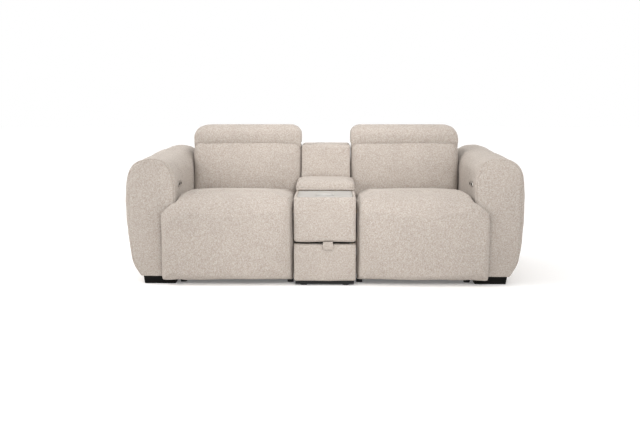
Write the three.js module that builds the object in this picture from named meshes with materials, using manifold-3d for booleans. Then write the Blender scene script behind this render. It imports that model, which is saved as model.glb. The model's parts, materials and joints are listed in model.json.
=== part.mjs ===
// Two-seat power-reclining sofa with a centre console, in millimetres.
// X runs to the right as seen from the front, Y to the back and Z up.
// The origin is on the floor, in the middle of the footprint.

import * as THREE from 'three';
import { mergeVertices } from 'three/addons/utils/BufferGeometryUtils.js';
import Module from 'manifold-3d';

const wasm = await Module();
wasm.setup();

// Whole sofa
const overall_width = 2060;
const overall_depth = 970;
const overall_height = 795;

// Gaps and cuts
const rest_gap = 0.3;
const pass_gap = 3;
const pin_gap = 0.4;
const overrun = 5;
const weld_distance = 0.0001;

// Arms
const arm_width = 273;
const arm_setback = 45;
const arm_above_seat = 185;
const arm_rise = 26;
const arm_side_gap = 2;
const arm_roll = 42;
const arm_plan_bulge = 12;
const arm_slot_wall = 33;
const arm_slot_width = 100;
const arm_slot_drop = 135;
const arm_frame_inset = 62;
const arm_frame_panel = 15;
const arm_frame_post = 70;
const arm_frame_rail = 72;
const arm_frame_window_count = 4;

// Feet
const foot_width = 170;
const foot_depth = 70;
const foot_height = 42;
const foot_taper = 5;
const foot_edge = 4;
const foot_side_offset = 8;
const foot_end_offset = 14;

// Seats and legrests
const back_space = 370;
const seat_front_height = 470;
const seat_crown = 6;
const seat_side_roll = 30;
const seat_end_drop_share = 0.8;
const seat_top_shares = [0.66, 0.33];
const corner_radius = 100;
const floor_clearance = 28;
const legrest_thickness = 74;
const legrest_bottom_radius = 26;
const legrest_bulge = 5;
const legrest_side_roll = 16;
const legrest_swell_share = 0.6;
const legrest_end_rise_share = 0.5;
const wing_width = 78;
const wing_drop = 74;
const legrest_frame_thickness = 15;
const legrest_frame_margin = 14;
const legrest_frame_low = 48;
const legrest_frame_drop = 46;
const seat_pad_thickness = 90;
const deck_thickness = 18;
const deck_front_gap = 7;

// Mechanism under each seat
const plate_margin = 16;
const plate_thickness = 4;
const plate_bottom = 20;
const plate_rear_reach = 100;
const plate_window_count = 3;
const crank_offset = 4;
const bar_thickness = 5;
const bar_gap = 2;
const bar_radius = 14;
const link_pin_radius = 6;
const drive_pin_radius = 8;
const drive_tube_radius = 12;
const drive_setback = 210;
const drive_drop = 22;
const bracket_setback = 108;
const bracket_drop = 240;
const cross_tube_radius = 12;
const front_tube_setback = 160;
const front_tube_height = 62;
const rear_tube_height = 62;
const rear_tube_inset = 30;
const base_glide_radius = 17;
const base_glide_height = 18;
const base_glide_inset = 22;

// Actuator
const crank_length = 60;
const crank_angle = THREE.MathUtils.degToRad(50);
const crank_lug_offset = 12;
const gearbox_hinge_gap = 50;
const gearbox_length = 60;
const gearbox_height = 52;
const gearbox_width = 56;
const motor_radius = 25;
const motor_length = 105;
const rail_radius = 15;
const rail_lug_gap = 71;
const rod_radius = 9;
const rod_entry_share = 0.6;
const rod_eye_width = 14;
const rod_eye_slack = 1.8;
const crank_pin_radius = 5;

// Backs
const back_seat_overlap = 112;
const back_lean = 40;
const back_side_roll = 26;
const back_lip_drop = 39;
const back_lip_inset = 13;
const back_pad_depth = 147;
const back_crown = 10;
const back_inner_offset = 5;
const back_frame_depth = 40;
const back_frame_drop = 40;
const back_frame_margin = 15;
const back_frame_rail = 38;
const back_frame_window_count = 3;
const back_hinge_drop = 40;
const back_hinge_setback = 10;
const back_ear_radius = 15;
const back_ear_drop = 10;
const back_panel_skirt_gap = 10;
const back_panel_depth = 122;
const back_panel_lean = 20;
const back_panel_edge = 34;

// Headrests
const headrest_height = 98;
const headrest_inner_overhang = 3;
const headrest_outer_overhang = 2;
const headrest_depth = 175;
const headrest_inner_radius = 45;
const headrest_outer_radius = 72;
const headrest_edge = 34;
const headrest_end_roll = 24;
const headrest_axis_setback = 45;
const headrest_socket_radius = 51;
const headrest_arm_offset = 190;
const headrest_arm_radius = 11;
const headrest_arm_rise = 43;
const headrest_plate = 10;
const headrest_plate_height = 30;
const headrest_pin_radius = 5;
const headrest_pocket_width = 25;

// Console
const console_width = 316;
const console_setback = 15;
const console_height = 456;
const console_skin = 7.7;
const console_top_skin = 5.7;
const console_side_gap = 3;
const front_block_bottom = 223;
const front_block_depth = 45;
const front_block_edge = 15;
const carcass_wall = 15;
const carcass_rear_gap = 11;
const plinth_height = 23;
const plinth_glide_height = 6;
const plinth_glide_radius = 18;
const plinth_inset = 15;
const plinth_glide_inset = 42;
const shelf_height = 213;
const cup_bay_depth = 215;
const console_back_half = 139;
const console_back_drop = 110;
const console_back_front_lean = 34;
const console_back_edge = 22;
const upright_width = 220;
const upright_thickness = 20;
const upright_drop = 85;

// Tray, cup holder and bin
const tray_border = 19;
const tray_front_border = 10;
const tray_thickness = 5.7;
const tray_corner = 14;
const tray_recess = 2;
const tray_rim = 7;
const cup_radius = 44;
const cup_wall = 2;
const cup_flange = 6;
const cup_depth = 72;
const cup_foot_radius_share = 0.9;
const cup_foot_depth_share = 0.85;
const cup_floor_radius_share = 0.88;
const cup_floor_depth_share = 0.83;
const cup_setback = 124;
const bin_wall = 3;
const bin_depth = 205;
const bin_margin = 8;
const bin_flange = 5;

// Lid
const lid_width = 320;
const lid_front_setback = 300;
const lid_height = 49;
const lid_edge = 17;
const lid_crown = 4;
const lid_board_thickness = 8;
const lid_board_margin = 10;
const lid_axis_gap = 4;
const lid_axis_drop = 6;
const hinge_knuckle_radius = 3.5;
const hinge_pin_radius = 1.5;
const hinge_leaf = 1.5;
const hinge_length = 260;
const hinge_knuckle_count = 5;

// Drawer
const drawer_front_bottom = 24;
const drawer_front_edge = 10;
const drawer_rear_gap = 154;
const drawer_width = 242;
const drawer_low = 47;
const drawer_high = 168;
const drawer_wall = 12;
const drawer_floor = 6;
const runner_height = 32;
const runner_low = 84;
const runner_wall = 2;
const runner_depth = 12;
const tab_width = 50;
const tab_offset = 16;
const tab_thickness = 5;
const tab_low = 187;
const tab_high = 228;
const tab_root = 22;
const tab_root_thickness = 4;

// Buttons
const button_radius = 6.5;
const button_drop = 146;
const button_setback = 159;
const button_spacing = 52;
const button_length = 4.3;
const button_shoulder_share = 0.75;
const button_face_share = 0.8;
const button_dish_share = 0.9;
const button_back_gap = 1.8;
const bezel_length = 92;
const bezel_height = 27;
const bezel_thickness = 3.3;

// Rear rail and skirt
const skirt_height = 205;
const skirt_bottom = 45;
const skirt_thickness = 15;
const skirt_setback = 70;
const rail_depth = 40;
const rail_low = 50;
const rail_high = 140;

// Places that follow from the sizes
const half_width = overall_width / 2;
const front_y = -overall_depth / 2;
const rear_y = overall_depth / 2;
const arm_inner_x = half_width - arm_width;
const arm_front_y = front_y + arm_setback;
const console_half = console_width / 2;
const console_front_y = front_y + console_setback;
const seat_inner_x = console_half + console_side_gap;
const seat_outer_x = arm_inner_x - arm_side_gap;
const seat_mid_x = (seat_inner_x + seat_outer_x) / 2;
const deck_height = seat_front_height - seat_pad_thickness;
const arm_height = seat_front_height + arm_above_seat;
const arm_slot_top = arm_height - arm_slot_drop;
const button_height = arm_height - button_drop;
const legrest_frame_high = seat_front_height - legrest_frame_drop;
const bracket_height = seat_front_height - bracket_drop;
const back_height = overall_height - headrest_height;
const back_bottom = seat_front_height - back_seat_overlap;
const back_hinge_height = deck_height - back_hinge_drop;
const back_frame_low = back_hinge_height - back_frame_drop;
const back_panel_bottom = skirt_height + back_panel_skirt_gap;
const console_back_height = overall_height - console_back_drop;
const upright_height = console_back_height - upright_drop;
const lid_front = front_y + lid_front_setback;
const back_front_y = rear_y - back_space;
const corner_y = front_y + corner_radius;
const corner_z = seat_front_height - corner_radius;
const legrest_axis_y = corner_y - corner_radius * Math.SQRT1_2;
const legrest_axis_z = corner_z + corner_radius * Math.SQRT1_2;
const legrest_rear_y = front_y + legrest_thickness + legrest_frame_thickness + rest_gap;
const deck_front_y = legrest_rear_y + deck_front_gap;
const plate_u = (seat_outer_x - seat_inner_x) / 2 - plate_margin - plate_thickness;
const crank_u = plate_u - crank_offset - bar_thickness;
const link_u = crank_u - bar_gap - bar_thickness;
const bracket_u = link_u - bar_gap - bar_thickness;
const back_hinge_y = back_front_y + back_hinge_setback;
const back_inner_x = console_back_half + back_inner_offset;
const back_outer_x = arm_inner_x - console_side_gap - bar_gap;
const back_frame_y = back_front_y + back_pad_depth;
const back_panel_y = back_frame_y + back_frame_depth;
const headrest_front_y = back_front_y + back_lean;
const headrest_axis_y = headrest_front_y + headrest_axis_setback;
const headrest_round_y = headrest_axis_y - headrest_socket_radius;
const carcass_half = console_half - console_skin - rest_gap;
const carcass_front_y = console_front_y + front_block_depth;
const carcass_rear_y = back_front_y - carcass_rear_gap;
const carcass_top = console_height - console_top_skin - rest_gap;
const divider_y = carcass_front_y + carcass_wall + cup_bay_depth;
const lid_axis_y = carcass_rear_y - lid_axis_gap;
const lid_low = console_height + rest_gap;
const lid_top = lid_low + lid_height;
const lid_axis_z = lid_top - lid_axis_drop;
const drawer_rear_y = carcass_rear_y - carcass_wall - drawer_rear_gap;
const upstand_y = lid_axis_y + hinge_knuckle_radius + rest_gap;
const drive_axis = new THREE.Vector2(front_y + drive_setback, deck_height - deck_thickness - drive_drop);
const legrest_axis = new THREE.Vector2(legrest_axis_y, legrest_axis_z);
const bracket_pin = new THREE.Vector2(front_y + bracket_setback, bracket_height);
const crank_vector = bracket_pin.clone().sub(legrest_axis);
const crank_pin = drive_axis.clone().add(crank_vector);

// Finishes
function finish(color, roughness, metalness) {
  return () => new THREE.MeshStandardMaterial({ color, roughness, metalness });
}
const upholstery = finish(0xcabfb4, 0.95, 0);
const tray_plastic = finish(0xcfcbc6, 0.45, 0);
const black_wood = finish(0x171615, 0.5, 0);
const plywood = finish(0xb89a72, 0.8, 0);
const black_steel = finish(0x26272a, 0.45, 0.8);
const bright_steel = finish(0xb9bcc0, 0.3, 1);
const black_plastic = finish(0x1d1d1f, 0.55, 0);
const satin_metal = finish(0xc4c2be, 0.35, 0.9);

// Turns a closed geometry into a solid that can be cut and joined.
function solid(geometry) {
  const plain = geometry.clone();
  plain.deleteAttribute('normal');
  plain.deleteAttribute('uv');
  const merged = mergeVertices(plain, weld_distance);
  const mesh = new wasm.Mesh({
    numProp: 3,
    vertProperties: new Float32Array(merged.attributes.position.array),
    triVerts: new Uint32Array(merged.index.array),
  });
  return new wasm.Manifold(mesh);
}

// Turns a solid back into a geometry.
function surface(body) {
  const mesh = body.getMesh();
  const geometry = new THREE.BufferGeometry();
  geometry.setAttribute('position', new THREE.BufferAttribute(new Float32Array(mesh.vertProperties), 3));
  geometry.setIndex(new THREE.BufferAttribute(new Uint32Array(mesh.triVerts), 1));
  geometry.computeVertexNormals();
  return geometry;
}

function join(...geometries) {
  return surface(geometries.map(solid).reduce((whole, piece) => whole.add(piece)));
}

function cut(geometry, ...tools) {
  return surface(tools.map(solid).reduce((whole, tool) => whole.subtract(tool), solid(geometry)));
}

// A box between two corners.
function box(x0, x1, y0, y1, z0, z1) {
  const geometry = new THREE.BoxGeometry(x1 - x0, y1 - y0, z1 - z0);
  return geometry.translate((x0 + x1) / 2, (y0 + y1) / 2, (z0 + z1) / 2);
}

// An outline drawn in Y and Z, pulled along X.
function alongX(shape, x0, x1, curveSegments = 2) {
  const geometry = new THREE.ExtrudeGeometry(shape, { depth: x1 - x0, bevelEnabled: false, curveSegments });
  const turn = new THREE.Matrix4().makeBasis(
    new THREE.Vector3(0, 1, 0),
    new THREE.Vector3(0, 0, 1),
    new THREE.Vector3(1, 0, 0),
  );
  return geometry.applyMatrix4(turn).translate(x0, 0, 0);
}

// An outline drawn in X and Y, pulled along Z.
function alongZ(shape, z0, z1, curveSegments = 3) {
  const geometry = new THREE.ExtrudeGeometry(shape, { depth: z1 - z0, bevelEnabled: false, curveSegments });
  return geometry.translate(0, 0, z0);
}

function rodX(radius, x0, x1, y, z, sides = 12) {
  const geometry = new THREE.CylinderGeometry(radius, radius, x1 - x0, sides);
  return geometry.rotateZ(-Math.PI / 2).translate((x0 + x1) / 2, y, z);
}

function rodY(radius, y0, y1, x, z, sides = 16) {
  const geometry = new THREE.CylinderGeometry(radius, radius, y1 - y0, sides);
  return geometry.translate(x, (y0 + y1) / 2, z);
}

function rodZ(radius, z0, z1, x, y, sides = 24) {
  const geometry = new THREE.CylinderGeometry(radius, radius, z1 - z0, sides);
  return geometry.rotateX(Math.PI / 2).translate(x, y, (z0 + z1) / 2);
}

function roundedRect(a0, a1, b0, b1, radius) {
  const shape = new THREE.Shape();
  shape.moveTo(a0 + radius, b0);
  shape.lineTo(a1 - radius, b0);
  shape.absarc(a1 - radius, b0 + radius, radius, -Math.PI / 2, 0, false);
  shape.lineTo(a1, b1 - radius);
  shape.absarc(a1 - radius, b1 - radius, radius, 0, Math.PI / 2, false);
  shape.lineTo(a0 + radius, b1);
  shape.absarc(a0 + radius, b1 - radius, radius, Math.PI / 2, Math.PI, false);
  shape.lineTo(a0, b0 + radius);
  shape.absarc(a0 + radius, b0 + radius, radius, Math.PI, Math.PI * 1.5, false);
  return shape;
}

// The radius of a many-sided ring whose flats lie at the given radius.
function flatRadius(radius, sides) {
  return radius / Math.cos(Math.PI / sides);
}

// A round hole whose flats clear a pin of the given radius.
function circle(a, b, radius, sides = 12) {
  const points = [];
  for (let step = 0; step < sides; step += 1) {
    const angle = (Math.PI * 2 * step) / sides;
    points.push(new THREE.Vector2(Math.cos(angle), Math.sin(angle)).multiplyScalar(flatRadius(radius, sides)));
  }
  return new THREE.Path(points.map((point) => point.add(new THREE.Vector2(a, b))));
}

// A flat bar with round ends between two pin centres.
function barShape(from, to, radius) {
  const angle = Math.atan2(to.y - from.y, to.x - from.x);
  const shape = new THREE.Shape();
  shape.absarc(to.x, to.y, radius, angle - Math.PI / 2, angle + Math.PI / 2, false);
  shape.absarc(from.x, from.y, radius, angle + Math.PI / 2, angle + Math.PI * 1.5, false);
  return shape;
}

// Both plates of a pair, mirrored about the seat's middle plane.
function pairX(shape, u, thickness, curveSegments = 2) {
  return [
    alongX(shape, seat_mid_x + u, seat_mid_x + u + thickness, curveSegments),
    alongX(shape, seat_mid_x - u - thickness, seat_mid_x - u, curveSegments),
  ];
}

function pairRod(radius, u0, u1, y, z) {
  return [
    rodX(radius, seat_mid_x + u0, seat_mid_x + u1, y, z),
    rodX(radius, seat_mid_x - u1, seat_mid_x - u0, y, z),
  ];
}

// How far a rolled edge has drawn in at a distance from the end of the form.
function rollInset(distance, radius) {
  const left = Math.max(radius - distance, 0);
  return radius - Math.sqrt(radius * radius - left * left);
}

// Places along a form with rolled ends: close together on the rolls, even between them.
function stations(start, end, start_roll, end_roll, roll_steps, inner_steps) {
  const places = [];
  for (let step = 0; step < roll_steps; step += 1) {
    places.push(start + start_roll * (1 - Math.cos((Math.PI / 2) * (step / roll_steps))));
  }
  for (let step = 0; step <= inner_steps; step += 1) {
    const inner_start = start + start_roll;
    places.push(inner_start + (end - end_roll - inner_start) * (step / inner_steps));
  }
  for (let step = roll_steps - 1; step >= 0; step -= 1) {
    places.push(end - end_roll * (1 - Math.cos((Math.PI / 2) * (step / roll_steps))));
  }
  return places;
}

// A closed skin over rings with the same number of points, with a fan over each end.
function loft(rings) {
  const count = rings[0].length;
  const positions = rings.flat().flatMap((point) => [point.x, point.y, point.z]);
  const index = [];
  for (let ring = 0; ring + 1 < rings.length; ring += 1) {
    for (let step = 0; step < count; step += 1) {
      const next = (step + 1) % count;
      const a = ring * count + step;
      const b = ring * count + next;
      index.push(a, b, b + count, a, b + count, a + count);
    }
  }
  const ends = [rings[0], rings[rings.length - 1]];
  ends.forEach((ring, end) => {
    const middle = ring.reduce((sum, point) => sum.add(point), new THREE.Vector3()).divideScalar(count);
    const centre = positions.length / 3;
    positions.push(middle.x, middle.y, middle.z);
    const first = end * (rings.length - 1) * count;
    for (let step = 0; step < count; step += 1) {
      const a = first + step;
      const b = first + ((step + 1) % count);
      index.push(...(end === 0 ? [centre, b, a] : [centre, a, b]));
    }
  });
  const geometry = new THREE.BufferGeometry();
  geometry.setAttribute('position', new THREE.Float32BufferAttribute(positions, 3));
  geometry.setIndex(signedVolume(positions, index) < 0 ? index.reverse() : index);
  geometry.computeVertexNormals();
  return geometry;
}

function signedVolume(positions, index) {
  const corner = (at) => new THREE.Vector3().fromArray(positions, at * 3);
  let volume = 0;
  for (let at = 0; at < index.length; at += 3) {
    volume += corner(index[at]).dot(corner(index[at + 1]).cross(corner(index[at + 2])));
  }
  return volume;
}

// Grid places along one side of a padded block: two steps on each rounded edge, even between them.
function padGrid(low, high, edge, inner_steps) {
  const roll = [0, edge * (1 - Math.tan(Math.PI / 8))];
  const places = roll.map((distance) => low + distance);
  for (let step = 0; step <= inner_steps; step += 1) {
    places.push(low + edge + (high - low - 2 * edge) * (step / inner_steps));
  }
  return places.concat(roll.reverse().map((distance) => high - distance));
}

// A padded block with rounded edges. crown lifts each face in its middle, as [x, y, z] for the low
// faces and the high ones, and reshape moves each finished point.
function pad({ low, high, edge, steps, crown_low = [0, 0, 0], crown_high = [0, 0, 0], reshape }) {
  const grids = [0, 1, 2].map((axis) => padGrid(low[axis], high[axis], edge, steps[axis]));
  const cells = grids.map((grid) => grid.length - 1);
  const geometry = new THREE.BoxGeometry(1, 1, 1, ...cells);
  const position = geometry.attributes.position;
  for (let at = 0; at < position.count; at += 1) {
    const share = [position.getX(at), position.getY(at), position.getZ(at)];
    const raw = share.map((value, axis) => grids[axis][Math.round((value + 0.5) * cells[axis])]);
    const inner = raw.map((value, axis) => Math.min(Math.max(value, low[axis] + edge), high[axis] - edge));
    const out = new THREE.Vector3(...raw).sub(new THREE.Vector3(...inner));
    const point = new THREE.Vector3(...inner);
    if (out.length() > 0) {
      point.add(out.setLength(edge));
    }
    const side = point.toArray().map((value, axis) => {
      const middle = (low[axis] + high[axis]) / 2;
      return THREE.MathUtils.clamp((value - middle) / (high[axis] - middle), -1, 1);
    });
    const fall = side.map((value) => 1 - value * value);
    const lift = [fall[1] * fall[2], fall[0] * fall[2], fall[0] * fall[1]];
    point.x += lift[0] * (side[0] > 0 ? crown_high[0] * side[0] : crown_low[0] * side[0]);
    point.y += lift[1] * (side[1] > 0 ? crown_high[1] * side[1] : crown_low[1] * side[1]);
    point.z += lift[2] * (side[2] > 0 ? crown_high[2] * side[2] : crown_low[2] * side[2]);
    if (reshape) {
      reshape(point);
    }
    position.setXYZ(at, point.x, point.y, point.z);
  }
  geometry.deleteAttribute('normal');
  geometry.deleteAttribute('uv');
  const merged = mergeVertices(geometry, weld_distance);
  merged.computeVertexNormals();
  return merged;
}

const group = new THREE.Group();

function addPiece(parent, name, geometry, material) {
  const mesh = new THREE.Mesh(geometry, material());
  mesh.name = name;
  parent.add(mesh);
}

// Arm: a bulging pod, lofted from front to back over a timber frame that stands in a slot.
const arm_outline_shares = [
  [0.72, 0], [0.89, 0.14], [0.975, 0.38], [1, 0.62], [0.957, 0.825],
  [0.81, 0.95], [0.55, 1], [0.22, 0.985], [0.045, 0.915], [0, 0.83],
];
const arm_roll_centre_share = 0.2;

function armPad() {
  const outline = new THREE.Shape();
  outline.moveTo(0, 0);
  outline.lineTo(arm_outline_shares[0][0], arm_outline_shares[0][1]);
  outline.splineThru(arm_outline_shares.slice(1).map(([a, b]) => new THREE.Vector2(a, b)));
  const shares = outline.getPoints(2);
  const length = rear_y - arm_front_y;
  const bottom = foot_height + rest_gap;
  const rings = stations(arm_front_y, rear_y, arm_roll, arm_roll, 3, 5).map((y) => {
    const along = (y - arm_front_y) / length;
    const inset = rollInset(Math.min(y - arm_front_y, rear_y - y), arm_roll);
    const width = arm_width - arm_plan_bulge * (2 * along - 1) ** 2;
    const height = arm_height - bottom + arm_rise * (along - 0.5);
    const centre = arm_width * arm_roll_centre_share;
    const squeeze = 1 - inset / (width - centre);
    return shares.map((share) => {
      const x = arm_inner_x + centre + (Math.min(share.x, 1) * width - centre) * squeeze;
      return new THREE.Vector3(x, y, bottom + Math.max(share.y, 0) * (height - inset));
    });
  });
  const slot_x = arm_inner_x + arm_slot_wall;
  const slot = box(
    slot_x - rest_gap,
    slot_x + arm_slot_width + rest_gap,
    arm_front_y + arm_frame_inset - rest_gap,
    rear_y - arm_frame_inset + rest_gap,
    0,
    arm_slot_top + rest_gap,
  );
  return cut(loft(rings), slot);
}

function armFrame() {
  const x0 = arm_inner_x + arm_slot_wall;
  const x1 = x0 + arm_slot_width;
  const y0 = arm_front_y + arm_frame_inset;
  const y1 = rear_y - arm_frame_inset;
  const z0 = foot_height + rest_gap;
  const pitch = (y1 - y0 - arm_frame_post) / arm_frame_window_count;
  const side = new THREE.Shape();
  side.moveTo(y0, z0);
  side.lineTo(y1, z0);
  side.lineTo(y1, arm_slot_top);
  side.lineTo(y0, arm_slot_top);
  const pieces = [];
  for (let bay = 0; bay < arm_frame_window_count; bay += 1) {
    const window_y = y0 + arm_frame_post + pitch * bay;
    const window_end = window_y + pitch - arm_frame_post;
    const low = z0 + arm_frame_rail;
    const high = arm_slot_top - arm_frame_rail;
    side.holes.push(roundedRect(window_y, window_end, low, high, arm_frame_panel));
  }
  pieces.push(alongX(side, x0, x0 + arm_frame_panel, 1));
  pieces.push(alongX(side, x1 - arm_frame_panel, x1, 1));
  for (let post = 0; post <= arm_frame_window_count; post += 1) {
    const post_y = y0 + pitch * post;
    pieces.push(box(x0 + rest_gap, x1 - rest_gap, post_y, post_y + arm_frame_post, z0, arm_slot_top));
  }
  return join(...pieces);
}

function foot(y0) {
  const x0 = arm_inner_x + foot_side_offset;
  const shape = roundedRect(x0, x0 + foot_width, y0, y0 + foot_depth, foot_edge);
  const geometry = alongZ(shape, 0, foot_height, 2);
  const position = geometry.attributes.position;
  const middle_x = x0 + foot_width / 2;
  const middle_y = y0 + foot_depth / 2;
  for (let at = 0; at < position.count; at += 1) {
    const narrow = foot_taper * (1 - position.getZ(at) / foot_height);
    position.setX(at, middle_x + (position.getX(at) - middle_x) * (1 - (2 * narrow) / foot_width));
    position.setY(at, middle_y + (position.getY(at) - middle_y) * (1 - (2 * narrow) / foot_depth));
  }
  return geometry;
}

// The two finger buttons sit in a slim bezel on the arm's inner face.
const bezel_y = front_y + button_setback;
const button_places = [bezel_y - button_spacing / 2, bezel_y + button_spacing / 2];

function controlPlate() {
  const shape = roundedRect(
    bezel_y - bezel_length / 2,
    bezel_y + bezel_length / 2,
    button_height - bezel_height / 2,
    button_height + bezel_height / 2,
    bezel_height / 2 - rest_gap,
  );
  button_places.forEach((y) => shape.holes.push(circle(y, button_height, button_radius + rest_gap)));
  return alongX(shape, arm_inner_x - rest_gap - bezel_thickness, arm_inner_x - rest_gap);
}

function button(y) {
  const back_x = arm_inner_x - button_back_gap;
  const profile = [
    new THREE.Vector2(0, 0),
    new THREE.Vector2(button_radius, 0),
    new THREE.Vector2(button_radius, button_length * button_shoulder_share),
    new THREE.Vector2(button_radius * button_face_share, button_length),
    new THREE.Vector2(0, button_length * button_dish_share),
  ];
  return new THREE.LatheGeometry(profile, 12).rotateZ(Math.PI / 2).translate(back_x, y, button_height);
}

// Seat pad: its front nose is the upper half of the rounded corner, and the legrest carries the rest.
function seatOutline() {
  const low = deck_height + rest_gap;
  const rear = back_front_y - back_crown - rest_gap;
  const shape = new THREE.Shape();
  shape.moveTo(rear, low);
  shape.lineTo(rear, seat_front_height - seat_side_roll);
  shape.absarc(rear - seat_side_roll, seat_front_height - seat_side_roll, seat_side_roll, 0, Math.PI / 2, false);
  const run = rear - seat_side_roll - corner_y;
  seat_top_shares.forEach((share) => shape.lineTo(corner_y + run * share, seat_front_height));
  shape.absarc(corner_y, corner_z, corner_radius, Math.PI / 2, Math.PI * 0.75, false);
  shape.lineTo(deck_front_y, legrest_axis_z + rest_gap);
  shape.lineTo(deck_front_y, low);
  return shape.getPoints(4);
}

function seatPad() {
  const outline = seatOutline();
  const places = stations(seat_inner_x, seat_outer_x, seat_side_roll, seat_side_roll, 3, 6);
  const middle = seat_mid_x;
  const half = (seat_outer_x - seat_inner_x) / 2;
  const rings = places.map((x) => {
    const inset = rollInset(Math.min(x - seat_inner_x, seat_outer_x - x), seat_side_roll);
    const crown = seat_crown * (1 - ((x - middle) / half) ** 2);
    return outline.map((point) => {
      const above = Math.max(point.y - legrest_axis_z - rest_gap, 0) / (seat_front_height - legrest_axis_z);
      return new THREE.Vector3(x, point.x, point.y + above * (crown - inset * seat_end_drop_share));
    });
  });
  return loft(rings);
}

// Legrest pad: the front of the T-shaped cushion, from the corner down to the floor line.
function legrestOutline() {
  const rear = front_y + legrest_thickness;
  const top = legrest_axis_z;
  const shape = new THREE.Shape();
  shape.moveTo(legrest_axis_y, top);
  shape.absarc(corner_y, corner_z, corner_radius, Math.PI * 0.75, Math.PI, false);
  shape.lineTo(front_y, floor_clearance + (corner_z - floor_clearance) * legrest_swell_share);
  shape.lineTo(front_y, floor_clearance + legrest_bottom_radius);
  shape.absarc(
    front_y + legrest_bottom_radius,
    floor_clearance + legrest_bottom_radius,
    legrest_bottom_radius,
    Math.PI,
    Math.PI * 1.5,
    false,
  );
  shape.lineTo(rear, floor_clearance);
  shape.lineTo(rear, top);
  return shape.getPoints(4);
}

function legrestPad() {
  const outer_x = arm_inner_x + wing_width;
  const outline = legrestOutline();
  const rear = front_y + legrest_thickness;
  const places = stations(seat_inner_x, outer_x, legrest_side_roll, wing_drop, 4, 5);
  const rings = places.map((x) => {
    const side = Math.min(x - seat_inner_x, outer_x - x);
    const inset = rollInset(side, legrest_side_roll);
    const drop = x > arm_inner_x - pass_gap ? rollInset(outer_x - x, wing_drop) : inset;
    const share = (x - seat_inner_x) / (outer_x - seat_inner_x);
    const bulge = legrest_bulge * (1 - (2 * share - 1) ** 4);
    return outline.map((point) => {
      const up = (point.y - floor_clearance) / (legrest_axis_z - floor_clearance);
      const forward = (rear - point.x) / legrest_thickness;
      const swell = bulge * Math.max(1 - (2 * up - 1) ** 2, 0) * (up < 1 ? 1 : 0);
      const y = point.x + forward * (inset + legrest_bulge - swell);
      return new THREE.Vector3(x, y, point.y - up * drop + (1 - up) * inset * legrest_end_rise_share);
    });
  });
  const arm_space = box(
    arm_inner_x - pass_gap,
    outer_x + overrun,
    arm_front_y - pass_gap,
    rear + overrun,
    0,
    seat_front_height,
  );
  return cut(loft(rings), arm_space);
}

function seatDeck() {
  const panel = roundedRect(
    console_half + rest_gap,
    arm_inner_x - rest_gap,
    deck_front_y,
    back_front_y - back_hinge_setback,
    foot_edge,
  );
  return alongZ(panel, deck_height - deck_thickness, deck_height, 2);
}

// Mechanism base: two pressed side plates with windows, three cross tubes and four floor glides.
function mechanismBase() {
  const y0 = deck_front_y + bar_gap;
  const y1 = back_hinge_y + plate_rear_reach - bar_gap * 2;
  const top = deck_height - deck_thickness - rest_gap;
  const hinge = new THREE.Vector2(back_hinge_y, back_hinge_height);
  const plate = new THREE.Shape();
  plate.moveTo(y0, plate_bottom);
  plate.lineTo(y1, plate_bottom);
  plate.lineTo(y1, back_hinge_height / 2);
  plate.absarc(hinge.x, hinge.y, back_ear_radius, 0, Math.PI * 0.6, false);
  plate.lineTo(back_hinge_y - back_hinge_setback * 2, top);
  plate.lineTo(y0 + bar_radius, top);
  plate.lineTo(y0, top - bar_radius);
  const web = bar_radius * 2;
  const window_low = plate_bottom + front_tube_height + web;
  const window_high = drive_axis.y - drive_tube_radius - web;
  const pitch = (gearbox_y - web - y0 - web / 2) / plate_window_count;
  for (let bay = 0; bay < plate_window_count; bay += 1) {
    const window_y = y0 + web + pitch * bay;
    plate.holes.push(roundedRect(window_y, window_y + pitch - web, window_low, window_high, bar_radius));
  }
  plate.holes.push(circle(drive_axis.x, drive_axis.y, drive_pin_radius + pin_gap));
  plate.holes.push(circle(hinge.x, hinge.y, link_pin_radius + pin_gap));
  const tube_end = plate_u + bar_gap;
  const tube = (y, z) => rodX(cross_tube_radius, seat_mid_x - tube_end, seat_mid_x + tube_end, y, z, 8);
  const pieces = pairX(plate, plate_u, plate_thickness, 1);
  pieces.push(tube(front_y + front_tube_setback, front_tube_height));
  pieces.push(tube(y1 - rear_tube_inset, rear_tube_height));
  pieces.push(tube(gearbox_y, gearbox_low - rest_gap - cross_tube_radius));
  [y0 + base_glide_inset, y1 - base_glide_inset].forEach((y) => {
    [-1, 1].forEach((side) => {
      const x = seat_mid_x + side * (plate_u + plate_thickness / 2);
      pieces.push(rodZ(base_glide_radius, 0, base_glide_height, x, y, 10));
      pieces.push(rodZ(base_glide_radius / 2, base_glide_height - rest_gap, plate_bottom + rest_gap, x, y, 8));
    });
  });
  return join(...pieces);
}

// Drive tube with its two end cranks and the pair of lugs that the actuator pushes.
const lug_pin = new THREE.Vector2(Math.cos(crank_angle), -Math.sin(crank_angle))
  .multiplyScalar(crank_length)
  .add(drive_axis);

function driveTube() {
  const crank = barShape(drive_axis, crank_pin, bar_radius);
  const lug = barShape(drive_axis, lug_pin, drive_tube_radius);
  const tube_end = crank_u + bar_thickness;
  const pin_end = plate_u + plate_thickness + bar_gap;
  return join(
    rodX(drive_tube_radius, seat_mid_x - tube_end, seat_mid_x + tube_end, drive_axis.x, drive_axis.y),
    rodX(drive_pin_radius, seat_mid_x - pin_end, seat_mid_x + pin_end, drive_axis.x, drive_axis.y),
    ...pairX(crank, crank_u, bar_thickness),
    ...pairRod(link_pin_radius, link_u - bar_gap / 2, crank_u + bar_gap, crank_pin.x, crank_pin.y),
    ...pairX(lug, crank_lug_offset, bar_thickness),
    rodX(
      crank_pin_radius,
      seat_mid_x - crank_lug_offset - bar_gap,
      seat_mid_x + crank_lug_offset + bar_gap,
      lug_pin.x,
      lug_pin.y,
    ),
  );
}

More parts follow.
